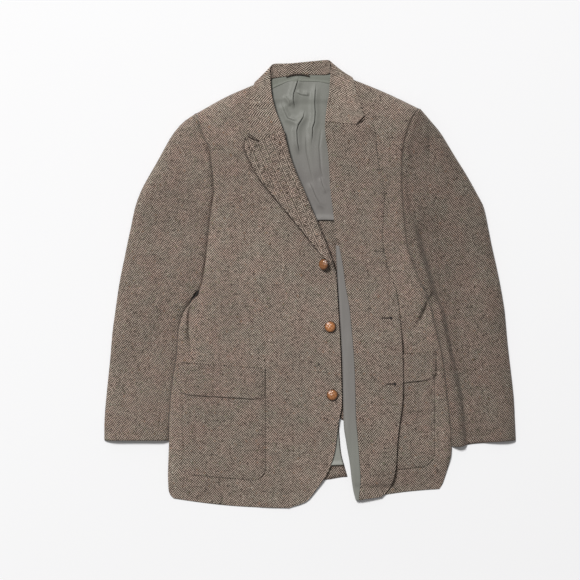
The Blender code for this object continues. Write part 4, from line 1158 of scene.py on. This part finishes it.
COLLAR_COLUMNS = ("roll_x", "roll_y", "roll_z", "turn", "edge_x", "edge_y",
                  "neck_x", "neck_y", "neck_z")
COLLAR = (
    (-51.5, 291.4, 14.6, 90, -118, 285, -53.5, 291.4, 11.4),
    (-57, 308, 13.9, 90, -116, 303, -59, 308, 10.8),
    (-64, 325, 13.2, 90, -115, 323, -66, 325, 10.2),
    (-69, 342, 12.6, 90, -113, 344, -71, 342, 9.6),
    (-73, 361, 12.0, 90, -110, 361, -75, 361, 9.0),
    (-74.5, 380, 10.8, 75, -107, 373.5, -76, 378, 7.6),
    (-75, 400, 10.0, 30, -106, 380.5, -74, 389, 6.6),
    (-71, 415, 6.0, -20, -100, 384, -70, 390.5, 5.4),
    (-60, 418, 4.8, -75, -76, 377, -58, 392, 4.4),
    (-40, 418.5, 4.5, -90, -46, 374, -39, 394.5, 4.2),
    (-17, 420.5, 4.5, -90, -17, 372, -17, 396.5, 4.2),
    (8, 423, 4.5, -90, 14, 374, 8, 396.5, 4.2),
    (26, 424.5, 4.8, -75, 48, 380, 24, 396.5, 4.4),
    (36, 423, 6.0, -20, 68, 394, 33.5, 398, 5.4),
    (39.5, 411, 10.0, 30, 80, 392, 38, 400, 6.6),
    (39, 396, 11.2, 75, 84, 381, 41, 394, 7.8),
    (37.5, 380, 12.0, 90, 87, 365, 39.5, 380, 9.0),
    (36.5, 361, 12.4, 90, 93, 348, 38.5, 361, 9.4),
    (33, 342, 12.8, 90, 97.5, 333, 35, 342, 9.8),
    (30.5, 325, 13.2, 90, 101, 321, 32.5, 325, 10.0),
    (28.5, 306.6, 13.6, 90, 103, 318, 30.5, 306.6, 10.4),
)
GORGE_DIP = ((0.65, 18.6), (0.777, 14.4))    # where each end of the leaf leaves its lapel
COLLAR_BACK = (7, 13)      # first and last section whose leaf lies beneath
RIM_OFFSET = 1.25          # from the roll line to the middle of leaf or stand
LEAF_LIFT = 2.3            # over the front, at the leaf's edge
LEAF_ROLL = 3.1            # and how much more at its roll
LEAF_OUT = (0.8, 0.6)      # way that the leaf goes from its roll, across and up
LEAF_BEND = 0.12           # share of the leaf's width that its bend takes
LEAF_SIDE_HEIGHT = 5.4     # its free edge where it goes round the neck
STATION_RUN = 17           # length of collar from one section to the next
STAND_WIDTH = 28
LEAF_STEPS = (161, 34)
STAND_COLUMNS = 14
NECK_SEAM = ((-84, 374), (-76, 384), (-68, 389.5), (-39, 393), (-17, 395), (8, 395),
             (30, 395.5), (38, 395), (46, 390))
SAGE_NECK = (0.180, 0.186, 0.156)
BAND_X = (-82, 45)         # ends of the band
BAND_OVERLAP = (3.0, 1.2)    # past the seam above it, and past the lining's below
BAND_STEPS = (14, 120)

collar_read = {title: smooth_line([(number, row[place]) for number, row in enumerate(COLLAR)])
               for place, title in enumerate(COLLAR_COLUMNS)}


def collar_parts():
    stations, t = grid(0, len(COLLAR) - 1, *LEAF_STEPS)
    t = t ** 1.2
    read = {title: line(stations) for title, line in collar_read.items()}
    turn = np.radians(read["turn"])
    middle = (len(COLLAR) - 1) / 2
    first, last = COLLAR_BACK
    behind = rises(stations, first - 0.5, 1.0) * falls(stations, last + 0.5, 1.0)
    sign = np.where(stations < middle, -1.0, 1.0)
    out_x = LEAF_OUT[0] * sign * (1 - behind)
    out_y = mix(LEAF_OUT[1], 1.0, behind)
    rim = RIM_OFFSET * np.cos(turn)
    rise = RIM_OFFSET * np.sin(turn)
    start = (read["roll_x"] + out_x * rim, read["roll_y"] + out_y * rim, read["roll_z"] + rise)
    x = mix(start[0], read["edge_x"], t)
    y = mix(start[1], read["edge_y"], t)
    reach = np.hypot(read["edge_x"] - start[0], read["edge_y"] - start[1])
    z_laid = 0.0
    threads = -STATION_RUN * stations
    for half, notch, from_end in zip((HALVES["right"], HALVES["left"]), GORGE_DIP,
                                     (stations, stations[::-1])):
        dip = notch_dip(t, *notch) * np.maximum(0.0, 1 - from_end)
        y = y - dip
        threads = threads + half.sign * dip
        seam = FACING_LIFT + half.layer_space(x, y, t * reach)
        stack = mix(seam, LEAF_LIFT + LEAF_ROLL * (1 - t) ** 2, smoothstep(from_end / 2))
        z_laid += (half.height(x, y, True) + stack) * (from_end <= middle)
    z_laid[stations[:, 0] == middle] /= 2
    z_laid = mix(start[2], z_laid, smoothstep(t / LEAF_BEND))
    z_side = mix(start[2], LEAF_SIDE_HEIGHT, t)
    z_under = mix(TWEED / 2, start[2], np.maximum(0.0, 1 - t / LEAF_BEND) ** 1.5)
    standing = rises(turn, math.radians(40), math.radians(35))
    z = mix(mix(z_side, z_laid, standing), z_under, behind)
    leaf = cloth("collar_leaf_cloth", "collar_leaf", (x, y, z),
                 (threads, np.hypot(x - start[0], y - start[1])),
                 tweed_material("collar_tweed", 1.10))
    top = (read["roll_x"] - out_x * rim, read["roll_y"] - out_y * rim, read["roll_z"] - rise)
    t = np.linspace(0, 1, STAND_COLUMNS)[None, :]
    x, y, z = (mix(read["neck_" + axis], end, t) for axis, end in zip("xyz", top))
    stand = cloth("collar_stand_cloth", "collar_stand", (x, y, z),
                  (-STATION_RUN * stations, STAND_WIDTH * t), front_tweed["right"])


def neck_band():
    down, across = grid(0, 1, *BAND_STEPS)
    x = mix(*BAND_X, across) + 0 * down
    above, below = BAND_OVERLAP
    y = mix(smooth_line(NECK_SEAM)(x) + above, lining_top(x) - below, down)
    z = lining_floor(x, y) + 0.12 * np.sin(x / 5.0) * down + 0.75 * smoothstep(down * 3 - 2)
    z -= 0.45 * smoothstep(1 - down / 0.3)
    z += pleats(x, y, LINING_PLEATS) * slack(x, y)
    made = cloth("neck_band", "lining_neck", (x, y, z), (x, y), neck_satin, LINING)


neck_satin = satin_material("sage_satin_neck", SAGE_NECK)
collar_parts()
neck_band()


# ================================================================ patch pockets
# Two patch pockets of tweed are stitched to the fronts, each under a flap that is sewn on
# above it. The left one is half hidden between the layers of the folded front.

POCKET_LIFT = TWEED + 0.1
POCKET_PUFF = 0.5          # how much more it stands off the front inside its edges
PUFF_REACH = 14
PRESSED_IN = 0.35          # how deep its stitches and its edges are drawn in, and how wide
STITCH_DENT = 1.2
EDGE_DENT = 2.4
PATCH_CORNER = 26          # radius of the rounded corners
FLAP_CORNER = 13
PATCH_ROWS = 104
FLAP_ROWS = 34
FLAP_CURL = 1.6            # a flap's free lower edge stands off its pocket
FLAP_CURL_REACH = 12.0
FLAP_SIDE_PRESS = 0.7      # and its sides are pressed down on it
TOP_STITCH = 3.0           # the heavier stitches that sew a flap on
TOP_PITCH = 4.8
TOP_RADIUS = 0.80
SEAM_IN = 5.5              # from an edge to the row of stitches that follows it
STITCH = 2.3
STITCH_PITCH = 3.8
STITCH_RADIUS = 0.28
STITCH_SHAPE = (0.5, 1.0, 1.0, 1.0, 0.5)    # thickness of a stitch from end to end
STITCH_DIVE = 0.3          # how deep its ends go in
STITCH_SIDES = 6
POCKET_SHIFT = 3.1         # its columns don't line up with the front's
THREAD_DARK = (0.035, 0.022, 0.015)
THREAD_LIGHT = (0.07, 0.048, 0.036)

# Painted shade: the left pocket's tweed is darkened to 0.85, for the dimmer light on that side and
# between the layers of the folded front.
pocket_tweed = {"right": tweed_material("pocket_tweed", 0.93),
                "left": tweed_material("shaded_left_pocket_tweed", 0.85)}


def pocket_piece(name, half_name, sides, top, bottom, corner, steps, layer):
    """A patch or flap: (left, right) sides, slanted top and bottom, rounded corners."""
    half = HALVES[half_name]
    left, right = sides
    columns, count = steps
    down, u = grid(0, 1, count, columns)
    height = abs(sum(top) - sum(bottom)) / 2
    from_bottom = np.minimum((1 - down) * height, corner)
    inset = corner - np.sqrt(np.maximum(corner ** 2 - (corner - from_bottom) ** 2, 0.0))
    x = mix(left + inset, right - inset, u)
    place = (x - left) / (right - left)
    y = mix(mix(*top, place), mix(*bottom, place), down)
    from_side = np.minimum(u, 1 - u) * (right - left)
    aside = np.minimum(from_side, (1 - down) * height)
    lift = layer * POCKET_LIFT + POCKET_PUFF * (layer - 1 + smoothstep(aside / PUFF_REACH))
    lift = lift - PRESSED_IN * (bell(aside - SEAM_IN, STITCH_DENT) + bell(aside, EDGE_DENT))
    if layer == 2:
        curl = smoothstep(1 - (1 - down) * height / FLAP_CURL_REACH)
        lift = lift + FLAP_CURL * curl * smoothstep(from_side / 18)
        lift = lift - FLAP_SIDE_PRESS * smoothstep(1 - from_side / 7)
    step = 1.0
    slope_x = (half.height(x + step, y) - half.height(x - step, y)) / (2 * step)
    slope_y = (half.height(x, y + step) - half.height(x, y - step)) / (2 * step)
    size = np.sqrt(1 + slope_x ** 2 + slope_y ** 2)
    place = (x - slope_x * lift / size, y - slope_y * lift / size,
             half.height(x, y) + lift / size)
    return cloth(name + "_cloth", name, place, (x + POCKET_SHIFT, y), pocket_tweed[half_name])


def thread_material():
    """Waxed dark thread with a fine twist."""
    finish = Finish("dark_thread")
    fibre = finish.noise(finish.add("TexCoord", output="Object"), 1800.0)
    return finish.done(bump=(fibre, 0.4, 0.0003), Roughness=0.7,
                       Base_Color=finish.blend(fibre, THREAD_DARK, THREAD_LIGHT))


thread = thread_material()


def tube(middle, radius, sides):
    """Points and faces of a closed tube of varying radius along its middle line."""
    middle = np.asarray(middle, float)
    tangent = np.gradient(middle, axis=0)
    tangent /= np.linalg.norm(tangent, axis=1, keepdims=True)
    aside = np.cross(tangent, (0.0, 0.0, 1.0))
    aside /= np.linalg.norm(aside, axis=1, keepdims=True)
    over = np.cross(aside, tangent)
    angle = np.linspace(0, 2 * math.pi, sides, endpoint=False)
    radius = np.broadcast_to(radius, len(middle))[:, None, None]
    points = middle[:, None] + radius * (aside[:, None] * np.cos(angle)[:, None]
                                         + over[:, None] * np.sin(angle)[:, None])
    faces = []
    for ring in range(len(middle) - 1):
        for side in range(sides):
            after = (side + 1) % sides
            faces.append((ring * sides + side, ring * sides + after,
                          (ring + 1) * sides + after, (ring + 1) * sides + side))
    faces.append(tuple(range(sides))[::-1])
    faces.append(tuple((len(middle) - 1) * sides + side for side in range(sides)))
    return points.reshape(-1, 3), faces


def solid_piece(name, parts, finish):
    """One piece from several closed parts, each a pair of points and faces."""
    points = []
    faces = []
    for part_points, part_faces in parts:
        faces += [tuple(len(points) + corner for corner in face) for face in part_faces]
        points += (np.asarray(part_points) * MM).tolist()
    mesh = bpy.data.meshes.new(name)
    mesh.from_pydata(points, [], faces)
    return shown(name, mesh, finish)


def sewn(line, length, pitch, radius):
    """Stitches along a line of points in space: short tubes that dive in at both ends."""
    line = np.asarray(line, float)
    run = np.concatenate([[0], np.cumsum(np.linalg.norm(np.diff(line, axis=0), axis=1))])
    parts = []
    for start in np.arange(0.5, run[-1] - length, pitch):
        share = np.linspace(0, 1, len(STITCH_SHAPE))
        along = start + length * share
        middle = np.stack([np.interp(along, run, column) for column in line.T], 1)
        middle[:, 2] -= STITCH_DIVE * (2 * share - 1) ** 2
        parts.append(tube(middle, radius * np.array(STITCH_SHAPE), STITCH_SIDES))
    return parts


def steps_along(line, step):
    """Places about one step apart on a line, how far along it each is, and its x and y."""
    line = np.array(line, float)
    run = np.concatenate([[0], np.cumsum(np.hypot(*np.diff(line, axis=0).T))])
    steps = np.linspace(0, run[-1], int(run[-1] / step))
    return steps, np.interp(steps, run, line[:, 0]), np.interp(steps, run, line[:, 1])


def on_front(half, line, lift):
    """A line drawn on a front, in steps of about 2 mm, at a height over it."""
    _, x, y = steps_along(line, 2)
    return np.stack([x, y, half.height(x, y) + lift], 1)


def pocket_stitches(name, half_name, sides, top, bottom, corner, layer):
    """The row of stitches that follows the sides and the bottom of a patch or flap, and
    the closer one along a flap's top, where it is sewn on."""
    half = HALVES[half_name]
    left = sides[0] + SEAM_IN
    right = sides[1] - SEAM_IN
    bend = corner - SEAM_IN
    quarter = np.linspace(0, math.pi / 2, 9)
    low = [value + SEAM_IN for value in bottom]
    line = [(left, top[0] - 3), (left, low[0] + bend)]
    line += [(left + bend * (1 - math.cos(a)), low[0] + bend * (1 - math.sin(a))) for a in quarter]
    line += [(right - bend * (1 - math.sin(a)), low[1] + bend * (1 - math.cos(a)))
             for a in quarter]
    line += [(right, top[1] - 3)]
    lift = layer * (POCKET_LIFT + POCKET_PUFF) - PRESSED_IN + TWEED / 2
    parts = sewn(on_front(half, line, lift), STITCH, STITCH_PITCH, STITCH_RADIUS)
    if layer == 2:
        line = [(sides[0] + 1, top[0] - 0.6), (sides[1] - 1, top[1] - 0.6)]
        parts += sewn(on_front(half, line, lift + 0.2), TOP_STITCH, TOP_PITCH, TOP_RADIUS)
    solid_piece(name, parts, thread)


# Each one's side, x of its two sides, y of its top and of its bottom at both, columns, area.
POCKETS = (
    ("right", (-247, -84), (-154, -160), (-360, -374), 84, 0.034),
    ("left", (92, 236), (-144, -133), (-360, -344), 74, 0.030),
)
FLAPS = (
    ("right", (-248, -85), (-148, -159), (-209, -219), 84, 0.0098),
    ("left", (91, 238), (-138, -127), (-197, -180), 74, 0.0082),
)
for (side, *patch_cut, patch_area), (_, *flap_cut, flap_area) in zip(POCKETS, FLAPS):
    *shape, columns = patch_cut
    patch = pocket_piece("pocket_patch_" + side, side, *shape, PATCH_CORNER,
                         (columns, PATCH_ROWS), 1)
    pocket_stitches("pocket_stitches_" + side, side, *shape, PATCH_CORNER, 1)
    *shape, columns = flap_cut
    cover = pocket_piece("pocket_flap_" + side, side, *shape, FLAP_CORNER,
                         (columns, FLAP_ROWS), 2)
    pocket_stitches("flap_stitches_" + side, side, *shape, FLAP_CORNER, 2)


# ================================================================ lapel edge
# The free edge of the rolled lapel is oversewn with dark waxed thread, in long stitches that keep
# facing and front together. These stitches, and those along the notch, are also partly painted
# shadow: their thick dark thread stands for the shade under the lapel's edge and in the gap at the
# notch.

EDGE_STITCH = 4.4
EDGE_PITCH = 5.0
EDGE_RADIUS = 0.85
EDGE_SET = (-0.7, -0.5, -0.1)    # from the facing's edge to the middle of its stitches
NOTCH_SET = (0.0, 0.4, 1.8)
NOTCH_STITCH = 2.9
NOTCH_PITCH = 2.6
NOTCH_RADIUS = 0.9


def lapel_edge():
    rows = np.arange(GORGE_ROW + 0.15, UNDERARM_ROW - 0.1, 0.1)[:, None]
    x, y, z, _ = HALVES["right"].turned(rows, FACING_LIFT, (), 12)
    line = np.stack([x[:, -1], y[:, -1], z[:, -1]], 1) + EDGE_SET
    solid_piece("lapel_edge_shadow_stitches", sewn(line, EDGE_STITCH, EDGE_PITCH, EDGE_RADIUS), thread)


def notch_edge(name):
    """Close stitches along the top of a lapel, from its notch to its corner; their dark thread is
    also painted shadow for the gap between collar and lapel.
    """
    t = np.linspace(0.02, 1.0, 120)
    x, y, z, _ = HALVES[name].turned(np.array([[float(GORGE_ROW)]]), FACING_LIFT, (), len(t))
    line = np.stack([x[0], y[0], z[0]], 1)[-len(t):] + NOTCH_SET
    line = line[(t > GORGE[name][0]) & (t < 0.97)]
    solid_piece("notch_shadow_stitches_" + name, sewn(line, NOTCH_STITCH, NOTCH_PITCH, NOTCH_RADIUS),
                thread)


lapel_edge()
for side in ("right", "left"):
    notch_edge(side)


# ================================================================ hanger loop
# A loop of dark twisted cord at the back neck, sewn down at both ends over the seam between
# the collar's stand and the neck band.

LOOP_ROUTE = ((-45, 392.5, 5.6), (-40, 395, 6.7), (-33, 397, 7.2), (-25, 398, 7.3),
              (-16, 397.6, 7.2), (-8, 396, 6.7), (-1, 393.8, 5.6))
STRAND_RADIUS = 0.72
STRAND_OFFSET = 0.55       # from the middle of the cord to the middle of each strand
CORD_TWIST = 6.5           # length of one full turn of the strands
STRANDS = 3
STRAND_SIDES = 10
LOOP_STEPS = 130


def hanger_loop():
    knots = np.linspace(0, len(LOOP_ROUTE) - 1, LOOP_STEPS)
    reads = [smooth_line(list(enumerate(column))) for column in zip(*LOOP_ROUTE)]
    middle = np.stack([read(knots) for read in reads], 1)
    tangent = np.gradient(middle, axis=0)
    run = np.cumsum(np.linalg.norm(tangent, axis=1))[:, None]
    tangent /= np.linalg.norm(tangent, axis=1, keepdims=True)
    aside = np.cross(tangent, (0.0, 0.0, 1.0))
    over = np.cross(aside, tangent)
    parts = []
    for strand in range(STRANDS):
        turn = (run / CORD_TWIST + strand / STRANDS) * 2 * math.pi
        offset = STRAND_OFFSET * (aside * np.cos(turn) + over * np.sin(turn))
        parts.append(tube(middle + offset, STRAND_RADIUS, STRAND_SIDES))
    made = solid_piece("hanger_cord", parts, thread)
    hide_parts("hanger_loop")


hanger_loop()


# ================================================================ buttonholes
# Three worked buttonholes on the left front's edge, which show on its facing: a cut with an eyelet
# at the end that takes the strain, its edges closely stitched over with dark thread. The cut's
# dark inside is painted shade: a flat near-black sheet laid on the facing within the stitches.

# y, x of the blind end, x of the eyelet's middle, and how heavily it is worked
BUTTONHOLES = ((61.6, 121, 138, 0.55), (-64.4, 135, 153, 1.2), (-189, 144, 160, 1.2))
PURL_RADIUS = 0.55
PURL_PITCH = 1.1
PURL_RIB = 0.18            # how much thinner it is between two stitches, as a share, each way
PURL_LIFT = 0.15
PURL_SIDES = 8
CUT_WIDTH = 0.65
# CUT_LIFT, CUT_SIDES, CUT_FLATNESS and HOLE_SHADES make the flat near-black sheet of painted shade
# that stands for the cut's dark inside.
CUT_LIFT = 0.02
CUT_SIDES = 12
CUT_FLATNESS = 0.12        # its depth, as a share of its width
EYELET_RADIUS = 2.0
HOLE_SHADES = (0.004, 0.02)


def painted_hole_shade_material():
    """Painted shade: near-black colour for a flat sheet that stands for the dark inside of a cut
    through two layers of tweed.
    """
    finish = Finish("buttonhole_shade")
    dust = finish.noise(finish.add("TexCoord", output="Object"), 900.0)
    return finish.done(Base_Color=finish.ramp(dust, 0.0, 1.0, *HOLE_SHADES), Roughness=0.95)


hole_shade = painted_hole_shade_material()


def facing_top(x, y):
    """Height of the left facing's upper side over one place."""
    rows = np.linspace(GORGE_ROW, HEM_ROW, 500)
    rows_y, rows_z = turned_left(rows, FACING_LIFT, np.full(len(rows), x))
    return np.interp(y, rows_y[::-1], rows_z[::-1]) + TWEED / 2


def buttonhole(number, y, blind_x, eyelet_x, weight):
    length = eyelet_x - blind_x
    cut_width = CUT_WIDTH * weight
    eyelet = EYELET_RADIUS * weight
    open_angle = math.asin(cut_width / eyelet)
    around = np.linspace(math.pi - open_angle, open_angle - math.pi, 34)
    line = [(0.0, 0.0), (0.5, cut_width)]
    line += [(t, cut_width) for t in np.arange(1.0, length - eyelet, 0.5)]
    line += [(length + eyelet * math.cos(a), eyelet * math.sin(a)) for a in around]
    line += [(t, -cut_width) for t in np.arange(length - eyelet - 0.5, 0.9, -0.5)]
    line += [(0.5, -cut_width), (0.0, -0.1)]
    steps, offset_x, offset_y = steps_along(line, 0.2)
    height = np.array([facing_top(blind_x + dx, y + dy) for dx, dy in zip(offset_x, offset_y)])
    middle = np.stack([blind_x + offset_x, y + offset_y, height + PURL_LIFT], 1)
    rib = 1 - PURL_RIB + PURL_RIB * np.sin(steps * 2 * math.pi / PURL_PITCH)
    ribs = PURL_RADIUS * weight * rib
    solid_piece("buttonhole_%d" % number, [tube(middle, ribs, PURL_SIDES)], thread)
    # The cut itself is painted shade: a flattened near-black tube laid just over the facing,
    # widening into the eyelet.
    cut_x = np.concatenate([np.linspace(0.3, length - eyelet, 8),
                            length + eyelet * np.linspace(-0.9, 0.9, 9)])
    cut = np.stack([blind_x + cut_x, y + 0 * cut_x,
                    [facing_top(blind_x + dx, y) + CUT_LIFT for dx in cut_x]], 1)
    round_end = np.sqrt(np.maximum(eyelet ** 2 - (cut_x - length) ** 2, 0.0))
    width = np.maximum(round_end, np.where(cut_x < length, cut_width * 0.7, 0.1))
    points, faces = tube(cut, width, CUT_SIDES)
    level = np.repeat(cut[:, 2], CUT_SIDES)
    points[:, 2] = level + CUT_FLATNESS * (points[:, 2] - level)
    solid_piece("buttonhole_cut_%d" % number, [(points, faces)], hole_shade)


for number, place in enumerate(BUTTONHOLES, 1):
    buttonhole(number, *place)


# ================================================================ buttons
# Three shanked buttons of woven leather: strips of tan hide plaited over a domed core, polished by
# wear on top. Painted shade darkens them where the strips cross, round the flank and on the
# underside. They are sewn to the right front's edge.

HIDE_TAN = (0.38, 0.140, 0.042)
HIDE_PALE = (0.50, 0.215, 0.080)
HIDE_SHADE = (0.030, 0.010, 0.005)
BUTTON_RADIUS = 10.8
BUTTON_HEIGHT = 7.0
BUTTON_WAIST = 2.6         # height of the widest part
BUTTON_UNDERSIDE = ((9.6, 1.0), (5.0, 0.0))
BUTTON_SINK = 0.4          # how far the strips lie in from that height
BUTTON_STEPS = (84, 40)    # points round it, and from its middle to its edge
STRIP_WIDTH = 5.0
STRIP_RISE = 0.8
UNDERSIDE_SHADE = 0.8      # how dark its underside is, as deep in a crossing
EDGE_TAPER = 0.35          # how far its flank draws in
# x, y, tilt towards the wearer's right, turn of the plait, height over the front, and how pale its
# hide is. The first is darkened to 0.62 as painted shade for the lapel's shadow over it.
BUTTONS = ((27, 37, 34, 14, 4.5, 0.62), (38, -81, 0, 40, 0.6, 1.08),
           (42, -210, 0, -24, 0.6, 0.88))


def hide_material(name, pale):
    """Glossy tan hide with a fine grain. Its crossing attribute mixes in painted shade where the
    strips cross, round the flank and on the underside.
    """
    finish = Finish(name)
    depth = finish.add("Attribute", output="Fac", attribute_name="crossing")
    place = finish.add("TexCoord", output="Object")
    grain = finish.noise(place, 1500.0, 3.0)
    tan = finish.blend(finish.noise(place, 260.0), toned(HIDE_TAN, pale),
                       toned(HIDE_PALE, pale))
    colour = finish.blend(finish.ramp(depth, 0.35, 0.95), tan, HIDE_SHADE)
    return finish.done(bump=(grain, 0.25, 0.0003), Base_Color=colour,
                       Roughness=finish.ramp(grain, 0.3, 0.7, 0.20, 0.34),
                       Coat_Weight=0.6, Coat_Roughness=0.18)


def plait(x, y):
    """Height of plaited strips at each place, and how deep in a crossing it lies."""
    column = np.floor(x / STRIP_WIDTH + 0.5)
    row = np.floor(y / STRIP_WIDTH + 0.5)
    from_column = x / STRIP_WIDTH - column
    from_row = y / STRIP_WIDTH - row
    upright = (column + row) % 2 > 0
    aside = np.where(upright, from_column, from_row)
    along = np.where(upright, from_row, from_column)
    round_top = np.sqrt(np.maximum(0.0, 1 - (1.96 * aside) ** 2))
    arch = np.cos(math.pi * 0.92 * along)
    return STRIP_RISE * round_top * (0.4 + 0.6 * arch), 1 - round_top * arch ** 0.4


def button(number, x, y, tilt, turn, lift, pale):
    sides, rings = BUTTON_STEPS
    rings = BUTTON_RADIUS * np.sin(np.linspace(0, math.pi / 2, rings))[1:, None]
    angle = np.linspace(0, 2 * math.pi, sides, endpoint=False)[None, :]
    turned_angle = angle + math.radians(turn)
    relief, depth = plait(rings * np.cos(turned_angle), rings * np.sin(turned_angle))
    flank = (rings / BUTTON_RADIUS) ** 2
    dome = (BUTTON_HEIGHT - BUTTON_WAIST) * np.sqrt(np.maximum(0.0, 1 - flank))
    reach = rings - EDGE_TAPER * flank + relief * flank * 0.5
    top = np.stack([reach * np.cos(angle), reach * np.sin(angle),
                    BUTTON_WAIST + dome - BUTTON_SINK + relief * (1 - flank * 0.5)], 2)
    top = top.reshape(-1, 3)
    low = np.concatenate([np.stack([radius * np.cos(angle[0]), radius * np.sin(angle[0]),
                                    np.full(sides, height)], 1)
                          for radius, height in BUTTON_UNDERSIDE])
    centre_relief, centre_depth = plait(np.zeros(1), np.zeros(1))
    summit = (0.0, 0.0, BUTTON_HEIGHT - BUTTON_SINK + centre_relief[0])
    points = np.concatenate([top, low, [summit, (0.0, 0.0, 0.0)]])
    # Painted shade also darkens the flank towards the rim.
    depth = np.maximum(depth, flank ** 1.3)
    shade = np.concatenate([depth.ravel(), np.full(len(low), UNDERSIDE_SHADE),
                            centre_depth, [UNDERSIDE_SHADE]])
    count = len(rings) + len(BUTTON_UNDERSIDE)
    faces = []
    for side in range(sides):
        after = (side + 1) % sides
        faces.append((len(points) - 2, side, after))
        last = (count - 1) * sides
        faces.append((last + after, last + side, len(points) - 1))
        for ring in range(count - 1):
            faces.append((ring * sides + side, (ring + 1) * sides + side,
                          (ring + 1) * sides + after, ring * sides + after))
    lean = math.radians(-tilt)
    px, py, pz = points.T
    base = HALVES["right"].height(np.array([x]), np.array([y]))[0] + TWEED / 2 + lift
    points = np.stack([x + px * math.cos(lean) + pz * math.sin(lean), y + py,
                       base - px * math.sin(lean) + pz * math.cos(lean)], 1)
    made = solid_piece("button_leather_%d" % number, [(points, faces)],
                       hide_material("woven_leather_%d" % number, pale))
    made.data.attributes.new("crossing", "FLOAT", "POINT").data.foreach_set(
        "value", shade.astype(np.float32))
    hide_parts("button_%d" % number)


for number, place in enumerate(BUTTONS, 1):
    button(number, *place)
